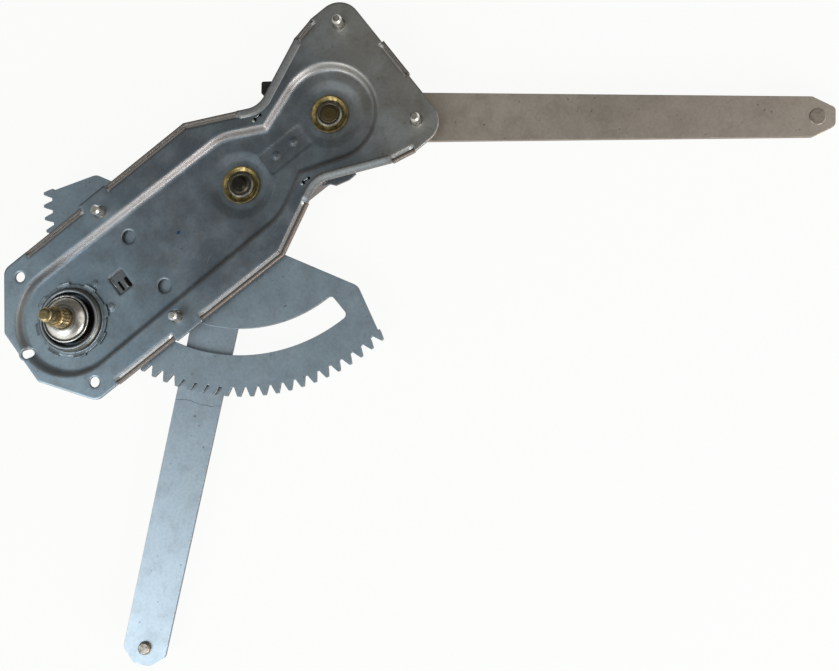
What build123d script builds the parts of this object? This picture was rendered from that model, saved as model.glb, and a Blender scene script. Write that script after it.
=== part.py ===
"""Manual twin-arm window regulator for a car door.

A stamped base plate carries a crank with a spring brake, whose pinion turns a toothed sector.
The sector swings the driven arm, and a pair of hub gears swings the follower arm the other way,
so that the rollers at the two arm ends lift the glass channel level.

Frame: the origin is where the crank axis meets the mounting face. +X runs along the plate from
the crank to the pivots, +Z points out of the mounting face on the crank side. Millimetres.
"""

import os
from math import acos, asin, atan2, cos, degrees, pi, radians, sin, sqrt, tan

from build123d import *

# ---------------------------------------------------------------- sheet metal and clearances
SHEET = 1.8  # base plate thickness
BRACKET_SHEET = 1.8  # rear bridge thickness
ARM_SHEET = 2.5  # both arms
SECTOR_SHEET = 3.0  # toothed sector
HUB_GEAR_SHEET = 3.0  # hub gears
RUN_GAP = 0.3  # axial gap between pieces that pass each other
RUN_FIT = 0.05  # radial gap of a shaft in its bush
STOP_GAP = 0.3  # gap left between the stop lug and the slot wall next to it

# ---------------------------------------------------------------- gearing
MODULE = 2.5  # crank pinion and sector
SECTOR_TEETH_FULL = 101  # teeth on the sector's full circle
SECTOR_TEETH = 38  # teeth that are cut
PINION_TEETH = 6
HUB_MODULE = 2.75
HUB_TEETH_FULL = 25
HUB_TEETH = 11  # teeth cut on each hub gear
HUB_LEAD = 3  # teeth of the driven gear below the line between the pivots
PRESSURE_ANGLE = 22.0
BACKLASH = 0.45  # thinning of each tooth at its pitch circle, shared by the two flanks
SECTOR_PITCH_RADIUS = MODULE * SECTOR_TEETH_FULL / 2
PINION_PITCH_RADIUS = MODULE * PINION_TEETH / 2
HUB_PITCH_RADIUS = HUB_MODULE * HUB_TEETH_FULL / 2

CRANK = (0.0, 0.0)
DRIVEN_PIVOT = (SECTOR_PITCH_RADIUS + PINION_PITCH_RADIUS, 0.0)
FOLLOWER_PIVOT = (DRIVEN_PIVOT[0] + 2 * HUB_PITCH_RADIUS, 0.0)

# ---------------------------------------------------------------- base plate
RECESS_DEPTH = 5.0
WALL_LEAN = 30.0  # recess wall, degrees from upright
RECESS_CRANK_RADIUS = 34.6
RECESS_DRIVEN_RADIUS = 32.4
RECESS_FOLLOWER_RADIUS = 30.2
NECK_TO_FOLLOWER = 35.6  # along X, from the recess's inner corner to the follower's pivot
RECESS_NECK = (FOLLOWER_PIVOT[0] - NECK_TO_FOLLOWER, 19.1)
BEND_RADIUS = 1.6
DIMPLE_DEPTH = 1.0
DIMPLE_FLAT_RADIUS = 15.4
DIMPLE_OUTER_RADIUS = 20.8
STRIP_DEPTH = 0.5
STRIP_HALF_WIDTH = 7.5
PIP_RADIUS = 2.0
PIP_HEIGHT = 0.6

PLATE_LEFT = -37.9
PLATE_END_REACH = 51.4  # beyond the follower's pivot
PLATE_RIGHT = FOLLOWER_PIVOT[0] + PLATE_END_REACH
LEFT_EDGE_HALF = 18.8
CORNER_X = -15.0
LONG_EDGE_HALF = 51.2  # outer edge beside the crank
MID_EDGE_HALF = 52.2  # outer edge beside the driven pivot
TAB_HALF = 53.0
CORNER_RADIUS = 7.0
TAB_CENTRE = 56.3
TAB_LENGTH = 19.8
SHOULDER_X = DRIVEN_PIVOT[0] - 5.0
NECK_X = FOLLOWER_PIVOT[0] - 30.8
NECK_HALF = 30.2
HEAD_X = FOLLOWER_PIVOT[0] + 12.0
HEAD_HALF = 49.6
HEAD_END_HALF = 52.6
LUG_RADIUS = 14.0

GUTTER_WIDTH = 3.0
GUTTER_DEPTH = 2.9
GUTTER_BEND = 1.5  # radius of the rounded shoulder from the face into the gutter
LIP_TOP = 0.3  # the cut edge lies this far below the mounting face
SIDE_LIP_START = 1.6
NECK_LIP_SHARE = 0.72  # of the slanted edge towards the neck
HEAD_LIP_END = HEAD_X + 14.5
END_LIP_HALF = 12.8
END_LIP_STANDOUT = 1.2  # beyond the plain end edge

HOLE_RADIUS = 3.25
CORNER_HOLES = (-9.5, 41.0)
END_HOLE_X = -34.2
END_HOLE_RADIUS = 3.1
END_EAR_RADIUS = 4.6
SIGHT_HOLES = (58.7, 19.4)
SIGHT_HOLE_RADIUS = 4.2
BRIDGE_FEET = (166.9, 25.0)
SLEEVE_PIPS = (24.6, 8.9)
STRIP_PIPS = (DRIVEN_PIVOT[0] + 27.9, DRIVEN_PIVOT[0] + 41.4)

STOP_X = 38.3
STOP_POCKET = (10.3, 12.7)
STOP_POCKET_DEPTH = 1.1
STOP_WINDOW = (6.4, 2.6)
STOP_LUG_WIDTH = 7.0

# ---------------------------------------------------------------- mounting studs
STUD_RADIUS = 3.0
STUD_HEIGHT = 9.4
STUD_TIP = (1.0, 1.5)  # how far the tip tapers in, and over what height
STUD_SEAT_RADIUS = 3.6  # pressed seat in the plate, with a relief groove round the foot
STUD_RELIEF = (2.7, 0.6)  # radius of the groove's floor, and its depth below the face
STUD_RELIEF_TOP = 0.3
STUD_HEAD_RADIUS = 6.0
STUD_HEAD_HEIGHT = 1.6
STUD_HEAD_CHAMFER = 0.6
SIDE_STUDS = (55.0, 41.0)
HEAD_STUD_REACH = 38.1  # beyond the follower's pivot
HEAD_STUDS = (FOLLOWER_PIVOT[0] + HEAD_STUD_REACH, 38.5)

# ---------------------------------------------------------------- levels, front (+Z) to back
FLOOR_FRONT = -RECESS_DEPTH
FLOOR_BACK = FLOOR_FRONT - SHEET
DIMPLE_FRONT = FLOOR_FRONT - DIMPLE_DEPTH
DIMPLE_BACK = DIMPLE_FRONT - SHEET
SECTOR_FRONT = DIMPLE_BACK - RUN_GAP
ARM_FRONT = SECTOR_FRONT - SECTOR_SHEET
GEAR_FRONT = ARM_FRONT - ARM_SHEET
GEAR_BACK = GEAR_FRONT - HUB_GEAR_SHEET
REAR_WASHER_SHEET = 1.0
PIN_FLANGE_FRONT = GEAR_BACK - RUN_GAP - REAR_WASHER_SHEET
PIN_FLANGE_HEIGHT = 1.2
BRIDGE_FRONT = GEAR_BACK - 2 * RUN_GAP
BRIDGE_BACK = BRIDGE_FRONT - BRACKET_SHEET

# ---------------------------------------------------------------- sector and arms
SECTOR_AXIS = -151.05  # direction of its middle from the driven pivot, degrees
ADDENDUM = 1.0  # in modules
PINION_ADDENDUM = 0.84
DEDENDUM = 1.24
SECTOR_FLAT = 28.6  # the straight back edge, from the pivot along the sector's axis
SECTOR_SHOULDER = 90.5
SECTOR_EDGE_BLEND = 6.0
SECTOR_HUB_RADIUS = 24.0
SECTOR_HUB_BLEND = 30.0
SLOT_INNER_RADIUS = 87.5
SLOT_OUTER_RADIUS = 103.7
SLOT_HALF_ANGLE = 62.9
SLOT_CORNER_RADIUS = min(3.0, 0.4 * (SLOT_OUTER_RADIUS - SLOT_INNER_RADIUS))

ARM_LENGTH = 285.3  # pivot to roller
DRIVEN_ARM_ANGLE = -139.2
FOLLOWER_ARM_ANGLE = -39.6
ARM_ROOT_RADIUS = 20.0
DRIVEN_ARM_WIDTHS = (30.4, 26.8)  # at the pivot and at the roller
FOLLOWER_ARM_WIDTHS = (31.4, 23.6)
ARM_TIP_REACH = 10.0  # beyond the roller's axis
ARM_TIP_HALF = 5.2
ARM_CORNER_RADIUS = 3.0
DRIVEN_TIP_START = 2.5  # where the tip begins to narrow, from the roller's axis
FOLLOWER_TIP_START = -3.0

RIVET_CIRCLE = 14.5
RIVET_RADIUS = 2.5
RIVET_HEAD_RADIUS = 3.4
RIVET_HEAD_HEIGHT = 1.3
RIVET_HEAD_TAPER = 30.0
RIVETS = 3

# ---------------------------------------------------------------- pivots
PIN_RADIUS = 6.0
BUSH_WALL = 1.5
BUSH_RADIUS = PIN_RADIUS + RUN_FIT + BUSH_WALL
PIN_FLANGE_RADIUS = 9.6
REAR_WASHER_RADIUS = 10.6
PIN_NECK_RADIUS = 5.0
PIN_HEAD_RADIUS = 8.0
PIN_HEAD_HEIGHT = 1.7
PIN_CORE_RADIUS = 5.4
FOLLOWER_TIP_HEIGHT = 0.5
DRIVEN_TIP_HEIGHT = 3.6
WASHER_RADIUS = 11.5
WASHER_SHEET = 1.0
WASHER_DISH = 1.2

# ---------------------------------------------------------------- rollers
STUD_SHANK_RADIUS = 4.0
ROLLER_RADIUS = 9.0
ROLLER_WIDTH = 6.0
ROLLER_GROOVE = 0.8
ROLLER_FLANGE_RADIUS = 6.5
ROLLER_FLANGE_HEIGHT = 1.2
ROLLER_HEAD_RADIUS = 6.0
ROLLER_HEAD_HEIGHT = 1.3
STAKE_RADIUS = 4.7
STAKE_HEIGHT = 0.4
STUB_RADIUS = 3.6
STUB_HEIGHT = 2.6

# ---------------------------------------------------------------- crank
SPINDLE_RADIUS = 6.3
SPINDLE_TIP_RADIUS = 4.4
SPINDLE_TOP = 31.6
SERRATION_BOTTOM = 11.0
SERRATION_TOP = 20.5
SERRATIONS = 18
SERRATION_DEPTH = 0.8
SPINDLE_NECK_RADIUS = 4.1
DRUM_BORE_RADIUS = 17.0
PLATE_CRANK_HOLE = 11.0
DRUM_FLANGE_RADIUS = 22.4
DRUM_SHEET = 1.2
DRUM_RADIUS = 19.6
DRUM_LEDGE_RADIUS = 18.0
DRUM_LEDGE_TOP = 0.2
DRUM_MOUTH_RADIUS = 15.2
DRUM_MOUTH_TOP = 1.0
DRUM_TABS = 8
DRUM_TAB_WIDTH = 8.0
DRUM_TAB_REACH = 1.3
DRUM_TAB_HEIGHT = 1.6
COLLAR_GAP = 0.6
COLLAR_RIM_TOP = 3.6
COLLAR_HUB_RADIUS = 7.4
COLLAR_HUB_TOP = 8.6
SPRING_WIRE = 1.1  # square wire
SPRING_PITCH = 1.25
SPRING_TURNS = 2.0
CORE_RADIUS = 12.6
CORE_HEIGHT = 2.2
DRUM_ROOF = 0.8
COLLAR_DOME_RADIUS = 16.0
SPINDLE_NECK_LENGTH = 1.6
PINION_TOOTH_ANGLE = -7.24
PINION_FOOT = 0.8
BEARING_FLANGE_RADIUS = 14.0
SHAFT_RADIUS = 4.4
PINION_BACK_GAP = 0.6  # pinion's end stays this far in front of the arms

# ---------------------------------------------------------------- rear bridge and buffer
BRIDGE_HALF_LENGTH = 8.0
BRIDGE_LEG_HALF = 30.6  # outer face of a leg
BRIDGE_CENTRE = BRIDGE_FEET[0] + 1.2
FOOT_OUTER_HALF = BRIDGE_LEG_HALF - 4.1
FOOT_INNER_HALF = BRIDGE_LEG_HALF - 8.1
FOOT_TONGUE = 7.0
WING_TOP = -9.2
WING_OUTLINE = ((-1.1, -1.6), (3.9, 0.4), (8.8, 2.6), (10.9, 5.4), (19.5, 7.8), (24.9, 7.6),
                (24.9, -0.1), (6.9, -1.6))  # from the bridge's centre, and from the leg's outer face
BUFFER_CENTRE = (BRIDGE_CENTRE + 15.5, BRIDGE_LEG_HALF + 6.0)
BUFFER_SIZE = (8.0, 10.0)
BUFFER_ANGLE = 52.0
BUFFER_HEIGHT = 6.0
BUFFER_CORNER = 1.2
BUFFER_NECK_RADIUS = 1.8
BUFFER_BUTTON = 1.4

os.makedirs("parts", exist_ok=True)


def polar(centre, radius, angle):
    """Point at a radius and an angle in degrees round a centre."""
    return (centre[0] + radius * cos(radians(angle)), centre[1] + radius * sin(radians(angle)))


def involute_half_angle(pitch_radius, teeth, radius, thinning):
    """Half the angle, in radians, that an involute tooth takes up at a radius."""
    def inv(angle):
        return tan(angle) - angle

    base = pitch_radius * cos(radians(PRESSURE_ANGLE))
    at_radius = acos(min(1.0, base / max(radius, base)))
    return pi / (2 * teeth) - thinning / (2 * pitch_radius) + inv(radians(PRESSURE_ANGLE)) - inv(at_radius)


def tooth_points(pitch_radius, teeth, root, tip, angle, thinning, foot=1.0):
    """Outline of one tooth on its root circle. foot narrows the root of an undercut tooth."""
    middle = radians(angle)
    base = max(root, pitch_radius * cos(radians(PRESSURE_ANGLE)))
    steps = 4
    radii = [base + (tip - base) * step / steps for step in range(steps + 1)]
    flank = [(r, involute_half_angle(pitch_radius, teeth, r, thinning)) for r in radii]
    foot_angle = flank[0][1] * foot
    sunk = root - 0.4
    flank = [(sunk, foot_angle)] + ([(root, foot_angle)] if root < base else []) + flank
    left = [(r * cos(middle + a), r * sin(middle + a)) for r, a in flank]
    right = [(r * cos(middle - a), r * sin(middle - a)) for r, a in reversed(flank)]
    return left + right


def save(builder, label):
    """Label a finished piece and write its STEP file."""
    builder.part.label = label
    export_step(builder.part, f"parts/{label}.step")


# ================================================================ base plate
def recess_contour():
    """Closed outline of the recess: round about the crank and both pivots, waisted between them."""
    crank_angle = asin((RECESS_CRANK_RADIUS - RECESS_DRIVEN_RADIUS) / DRIVEN_PIVOT[0])
    side_angle = 90 - degrees(crank_angle)
    neck = RECESS_NECK
    to_driven = (neck[0] - DRIVEN_PIVOT[0], neck[1])
    to_follower = (FOLLOWER_PIVOT[0] - neck[0], neck[1])
    driven_angle = degrees(atan2(to_driven[1], to_driven[0])) + degrees(
        acos(RECESS_DRIVEN_RADIUS / sqrt(to_driven[0] ** 2 + to_driven[1] ** 2)))
    follower_angle = 180 - degrees(atan2(to_follower[1], to_follower[0])) - degrees(
        acos(RECESS_FOLLOWER_RADIUS / sqrt(to_follower[0] ** 2 + to_follower[1] ** 2)))
    crank_point = polar(CRANK, RECESS_CRANK_RADIUS, side_angle)
    driven_start = polar(DRIVEN_PIVOT, RECESS_DRIVEN_RADIUS, side_angle)
    driven_middle = polar(DRIVEN_PIVOT, RECESS_DRIVEN_RADIUS, (side_angle + driven_angle) / 2)
    driven_end = polar(DRIVEN_PIVOT, RECESS_DRIVEN_RADIUS, driven_angle)
    follower_point = polar(FOLLOWER_PIVOT, RECESS_FOLLOWER_RADIUS, follower_angle)
    for side in (1, -1):
        def at(point):
            return (point[0], side * point[1])
        Line(at(crank_point), at(driven_start))
        ThreePointArc(at(driven_start), at(driven_middle), at(driven_end))
        Line(at(driven_end), at(neck))
        Line(at(neck), at(follower_point))
    ThreePointArc(crank_point, (-RECESS_CRANK_RADIUS, 0), (crank_point[0], -crank_point[1]))
    ThreePointArc(follower_point, (FOLLOWER_PIVOT[0] + RECESS_FOLLOWER_RADIUS, 0),
                  (follower_point[0], -follower_point[1]))


def fillet_near(sketch, point, radius):
    """Round the sketch corner nearest to a point."""
    corner = sketch.vertices().sort_by_distance((*point, 0))[0]
    fillet(corner, radius)


def gutter_profile():
    """Section of the turned-up edge: x runs outwards from the bend, y is the height."""
    floor = -GUTTER_DEPTH
    outer = GUTTER_WIDTH + SHEET
    with BuildLine() as section:
        RadiusArc((0, 0), (GUTTER_BEND, -GUTTER_BEND), GUTTER_BEND)
        Polyline(
            (GUTTER_BEND, -GUTTER_BEND), (GUTTER_BEND, floor), (GUTTER_WIDTH, floor),
            (GUTTER_WIDTH, -LIP_TOP), (outer, -LIP_TOP), (outer, floor - SHEET * 0.55),
            (outer - SHEET * 0.6, floor - SHEET), (GUTTER_WIDTH * 0.2, floor - SHEET),
            (-SHEET * 0.35, -SHEET), (-SHEET / 2, -SHEET), (-SHEET / 2, 0), (0, 0))
    make_face(section.line.edges())


def edge_gutter(start, end):
    """Turn up the plate's edge from start to end, which lie on its outer edge line."""
    run = Vector(*end, 0) - Vector(*start, 0)
    up = Vector(0, 0, 1)
    outwards = run.normalized().cross(up)
    if outwards.dot(Vector(*start, 0) - Vector(*DRIVEN_PIVOT, 0)) < 0:
        outwards = -outwards
    band = GUTTER_WIDTH + SHEET
    section = Plane(origin=Vector(*start, 0) - outwards * band, x_dir=outwards, z_dir=outwards.cross(up))
    length = run.dot(section.z_dir)
    with BuildSketch(section) as flat_edge:
        with Locations((band, 0)):
            Rectangle(2 * band, 4 * SHEET)
    extrude(flat_edge.sketch, amount=length, mode=Mode.SUBTRACT)
    with BuildSketch(section) as turned_edge:
        gutter_profile()
    extrude(turned_edge.sketch, amount=length)


def pivot_dimple(centre):
    """Press the recess floor back to a flat seat round a pivot."""
    for level, widening, mode in ((-SHEET, SHEET * 0.6, Mode.ADD), (0.0, 0.0, Mode.SUBTRACT)):
        with BuildSketch(Plane.XY.offset(FLOOR_FRONT + level)) as wide:
            with Locations(centre):
                Circle(DIMPLE_OUTER_RADIUS + widening)
        with BuildSketch(Plane.XY.offset(DIMPLE_FRONT + level)) as narrow:
            with Locations(centre):
                Circle(DIMPLE_FLAT_RADIUS + widening)
        loft([wide.sketch.face(), narrow.sketch.face()], mode=mode)


with BuildPart() as base_plate:
    with BuildSketch() as rim:
        with BuildLine():
            Polyline(
                (PLATE_LEFT, 0), (PLATE_LEFT, LEFT_EDGE_HALF), (CORNER_X, LONG_EDGE_HALF),
                (TAB_CENTRE - TAB_LENGTH / 2, LONG_EDGE_HALF), (TAB_CENTRE - TAB_LENGTH / 2, TAB_HALF),
                (TAB_CENTRE + TAB_LENGTH / 2, TAB_HALF), (TAB_CENTRE + TAB_LENGTH / 2, MID_EDGE_HALF),
                (SHOULDER_X, MID_EDGE_HALF), (NECK_X, NECK_HALF), (HEAD_X, HEAD_HALF),
                (HEAD_LIP_END, HEAD_END_HALF), (PLATE_RIGHT, HEAD_END_HALF), (PLATE_RIGHT, 0))
            mirror(about=Plane.XZ)
        make_face()
        for side in (1, -1):
            fillet_near(rim, (CORNER_X, side * LONG_EDGE_HALF), CORNER_RADIUS)
            fillet_near(rim, (PLATE_RIGHT, side * HEAD_END_HALF), LUG_RADIUS)
            fillet_near(rim, (NECK_X, side * NECK_HALF), LUG_RADIUS)
            fillet_near(rim, (PLATE_LEFT, side * LEFT_EDGE_HALF), 2 * SHEET)
        with Locations((END_HOLE_X, 0)):
            Circle(END_EAR_RADIUS)
        with Locations((PLATE_RIGHT, 0)):
            Rectangle(2 * END_LIP_STANDOUT, 2 * END_LIP_HALF)
    extrude(amount=-SHEET)
    with BuildSketch():
        with BuildLine():
            recess_contour()
        make_face()
        offset(amount=SHEET / cos(radians(WALL_LEAN)))
    extrude(amount=-(RECESS_DEPTH + SHEET), taper=WALL_LEAN)
    fillet(base_plate.edges(Select.LAST).group_by(Axis.Z)[0], BEND_RADIUS)
    with BuildSketch():
        with BuildLine():
            recess_contour()
        make_face()
    extrude(amount=-RECESS_DEPTH, taper=WALL_LEAN, mode=Mode.SUBTRACT)
    fillet(base_plate.edges(Select.LAST).group_by(Axis.Z)[0], BEND_RADIUS)
    mouth = base_plate.faces().filter_by(Axis.Z).sort_by(Axis.Z)[-1].inner_wires()[0]
    fillet(mouth.edges(), BEND_RADIUS)

    for centre in (DRIVEN_PIVOT, FOLLOWER_PIVOT):
        pivot_dimple(centre)
    with BuildSketch(Plane.XY.offset(FLOOR_FRONT)):
        with Locations(((DRIVEN_PIVOT[0] + FOLLOWER_PIVOT[0]) / 2, 0)):
            Rectangle(2 * (HUB_PITCH_RADIUS - DIMPLE_OUTER_RADIUS) + 2 * SHEET, 2 * STRIP_HALF_WIDTH)
    extrude(amount=-STRIP_DEPTH, mode=Mode.SUBTRACT)

    for side in (1, -1):
        edge_gutter((SIDE_LIP_START, side * LONG_EDGE_HALF),
                    (TAB_CENTRE - TAB_LENGTH / 2, side * LONG_EDGE_HALF))
        edge_gutter((TAB_CENTRE + TAB_LENGTH / 2, side * MID_EDGE_HALF), (SHOULDER_X, side * MID_EDGE_HALF))
        edge_gutter((SHOULDER_X, side * MID_EDGE_HALF),
                    (SHOULDER_X + NECK_LIP_SHARE * (NECK_X - SHOULDER_X),
                     side * (MID_EDGE_HALF + NECK_LIP_SHARE * (NECK_HALF - MID_EDGE_HALF))))
        edge_gutter((HEAD_X, side * HEAD_HALF), (HEAD_LIP_END, side * HEAD_END_HALF))
    lip_edge = PLATE_RIGHT + END_LIP_STANDOUT
    edge_gutter((lip_edge, -END_LIP_HALF), (lip_edge, END_LIP_HALF))

    with Locations(*[(CORNER_HOLES[0], side * CORNER_HOLES[1]) for side in (1, -1)]):
        Hole(HOLE_RADIUS)
    with Locations((END_HOLE_X, 0)):
        Hole(END_HOLE_RADIUS)
    with Locations(*[(SIGHT_HOLES[0], side * SIGHT_HOLES[1]) for side in (1, -1)]):
        Hole(SIGHT_HOLE_RADIUS)
    with Locations(*[(SIDE_STUDS[0], side * SIDE_STUDS[1]) for side in (1, -1)],
                   *[(HEAD_STUDS[0], side * HEAD_STUDS[1]) for side in (1, -1)]):
        Hole(STUD_SEAT_RADIUS)
    with Locations(DRIVEN_PIVOT, FOLLOWER_PIVOT):
        Hole(PIN_NECK_RADIUS)
    with Locations(CRANK):
        Hole(PLATE_CRANK_HOLE)

    # Locating pips of the crank brake, and the pair beside the driven pivot.
    with BuildSketch(Plane.XY.offset(FLOOR_FRONT - SHEET / 2)):
        with Locations(*[(SLEEVE_PIPS[0], side * SLEEVE_PIPS[1]) for side in (1, -1)]):
            Circle(PIP_RADIUS)
    extrude(amount=SHEET / 2 + PIP_HEIGHT)
    with BuildSketch(Plane.XY.offset(FLOOR_FRONT - STRIP_DEPTH - SHEET / 2)):
        with Locations(*[(offset_x, 1.0) for offset_x in STRIP_PIPS]):
            Circle(PIP_RADIUS)
    extrude(amount=SHEET / 2 + PIP_HEIGHT)

    # The stop: a lug folded back out of a window, which runs in the sector's slot.
    with BuildSketch(Plane.XY.offset(FLOOR_FRONT)):
        with Locations((STOP_X, 0)):
            Rectangle(*STOP_POCKET)
    extrude(amount=-STOP_POCKET_DEPTH, mode=Mode.SUBTRACT)
    with BuildSketch(Plane.XY.offset(FLOOR_BACK)):
        with Locations((STOP_X, 0)):
            Rectangle(*STOP_POCKET)
    extrude(amount=-STOP_POCKET_DEPTH / 2)
    with BuildSketch(Plane.XY.offset(FLOOR_FRONT)):
        with Locations((STOP_X, 0)):
            Rectangle(*STOP_WINDOW)
    extrude(amount=-2 * SHEET, mode=Mode.SUBTRACT)
    with BuildSketch(Plane.XY.offset(FLOOR_FRONT - STOP_POCKET_DEPTH)):
        with Locations((STOP_X, STOP_WINDOW[1] / 2 - SHEET / 2)):
            Rectangle(STOP_LUG_WIDTH, SHEET)
    extrude(amount=ARM_FRONT + STOP_GAP - (FLOOR_FRONT - STOP_POCKET_DEPTH))
save(base_plate, "base_plate")


# ================================================================ mounting studs
head_bottom = -SHEET - STUD_HEAD_HEIGHT
with BuildPart() as mounting_studs:
    with BuildSketch(Plane.XZ):
        with BuildLine():
            Polyline(
                (0, head_bottom), (STUD_HEAD_RADIUS - STUD_HEAD_CHAMFER, head_bottom),
                (STUD_HEAD_RADIUS, head_bottom + STUD_HEAD_CHAMFER), (STUD_HEAD_RADIUS, -SHEET),
                (STUD_SEAT_RADIUS, -SHEET), (STUD_SEAT_RADIUS, -STUD_RELIEF[1]),
                (STUD_RELIEF[0], -STUD_RELIEF[1]), (STUD_RELIEF[0], STUD_RELIEF_TOP), (STUD_RADIUS, STUD_RELIEF_TOP),
                (STUD_RADIUS, STUD_HEIGHT - STUD_TIP[1]), (STUD_RADIUS - STUD_TIP[0], STUD_HEIGHT),
                (0, STUD_HEIGHT), close=True)
        make_face()
    revolve(axis=Axis.Z)
stud = mounting_studs.part
stud_places = [(x, side * y) for x, y in (SIDE_STUDS, HEAD_STUDS) for side in (1, -1)]
with BuildPart() as mounting_studs:
    with Locations(*stud_places):
        add(stud)
save(mounting_studs, "mounting_studs")


# ================================================================ pivots
def pivot_pin(centre, label, tip_height):
    """Shouldered pin, riveted over on the front washer; its rear flange holds the arm stack."""
    washer_front = DIMPLE_FRONT + WASHER_SHEET
    head_top = washer_front + PIN_HEAD_HEIGHT
    with BuildPart() as pin:
        with BuildSketch(Plane.XZ):
            with BuildLine():
                Polyline(
                    (0, PIN_FLANGE_FRONT - PIN_FLANGE_HEIGHT),
                    (PIN_FLANGE_RADIUS, PIN_FLANGE_FRONT - PIN_FLANGE_HEIGHT),
                    (PIN_FLANGE_RADIUS, PIN_FLANGE_FRONT), (PIN_RADIUS, PIN_FLANGE_FRONT),
                    (PIN_RADIUS, DIMPLE_BACK), (PIN_NECK_RADIUS, DIMPLE_BACK),
                    (PIN_NECK_RADIUS, washer_front), (PIN_HEAD_RADIUS, washer_front),
                    (PIN_HEAD_RADIUS, head_top - 0.7), (PIN_HEAD_RADIUS - 1.0, head_top),
                    (PIN_CORE_RADIUS + 0.8, head_top), (PIN_CORE_RADIUS, head_top - 0.5),
                    (PIN_CORE_RADIUS, head_top + 0.2), (PIN_CORE_RADIUS * 0.62, head_top + tip_height),
                    (0, head_top + tip_height), close=True)
            make_face()
        revolve(axis=Axis.Z)
    pin.part.position = (*centre, 0)
    save(pin, label)


pivot_pin(DRIVEN_PIVOT, "driven_pivot_pin", DRIVEN_TIP_HEIGHT)
pivot_pin(FOLLOWER_PIVOT, "follower_pivot_pin", FOLLOWER_TIP_HEIGHT)

washer_top = DIMPLE_FRONT + WASHER_SHEET
with BuildPart() as dished_washer:
    with BuildSketch(Plane.XZ):
        with BuildLine():
            Polyline(
                (PIN_NECK_RADIUS, DIMPLE_FRONT), (PIN_HEAD_RADIUS + 0.6, DIMPLE_FRONT),
                (WASHER_RADIUS, DIMPLE_FRONT + WASHER_DISH), (WASHER_RADIUS, washer_top + WASHER_DISH),
                (WASHER_RADIUS - 0.8, washer_top + WASHER_DISH), (PIN_HEAD_RADIUS + 0.3, washer_top),
                (PIN_NECK_RADIUS, washer_top), close=True)
        make_face()
    revolve(axis=Axis.Z)
with BuildPart() as front_washers:
    with Locations(DRIVEN_PIVOT, FOLLOWER_PIVOT):
        add(dished_washer.part)
save(front_washers, "front_washers")

with BuildPart() as rear_washers:
    with BuildSketch(Plane.XY.offset(PIN_FLANGE_FRONT)):
        with Locations(DRIVEN_PIVOT, FOLLOWER_PIVOT):
            Circle(REAR_WASHER_RADIUS)
            Circle(PIN_RADIUS, mode=Mode.SUBTRACT)
    extrude(amount=REAR_WASHER_SHEET)
save(rear_washers, "rear_washers")


# ================================================================ sector and hub gears
def toothed_ring(pitch_radius, module, full, angles, addendum=ADDENDUM, foot=1.0):
    """Add involute teeth at the given angles to the sketch that is open."""
    root = pitch_radius - DEDENDUM * module
    tip = pitch_radius + addendum * module
    for angle in angles:
        with BuildLine() as tooth:
            Polyline(*tooth_points(pitch_radius, full, root, tip, angle, BACKLASH / 2, foot), close=True)
        make_face(tooth.line.edges())


sector_root = SECTOR_PITCH_RADIUS - DEDENDUM * MODULE
sector_step = 360 / SECTOR_TEETH_FULL
sector_half = (SECTOR_TEETH - 1) / 2 * sector_step


def level_plane(centre, level, angle):
    """Plane at a height, with its origin at a pivot and its x axis at an angle in degrees."""
    return Plane(origin=(*centre, level), x_dir=(*polar((0, 0), 1, angle), 0), z_dir=(0, 0, 1))


def pierce_stack(angle):
    """Bore and rivet holes of one layer, in the open sketch; angle brings the rivets into line."""
    Circle(BUSH_RADIUS, mode=Mode.SUBTRACT)
    with PolarLocations(RIVET_CIRCLE, RIVETS, start_angle=angle):
        Circle(RIVET_RADIUS, mode=Mode.SUBTRACT)


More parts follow.
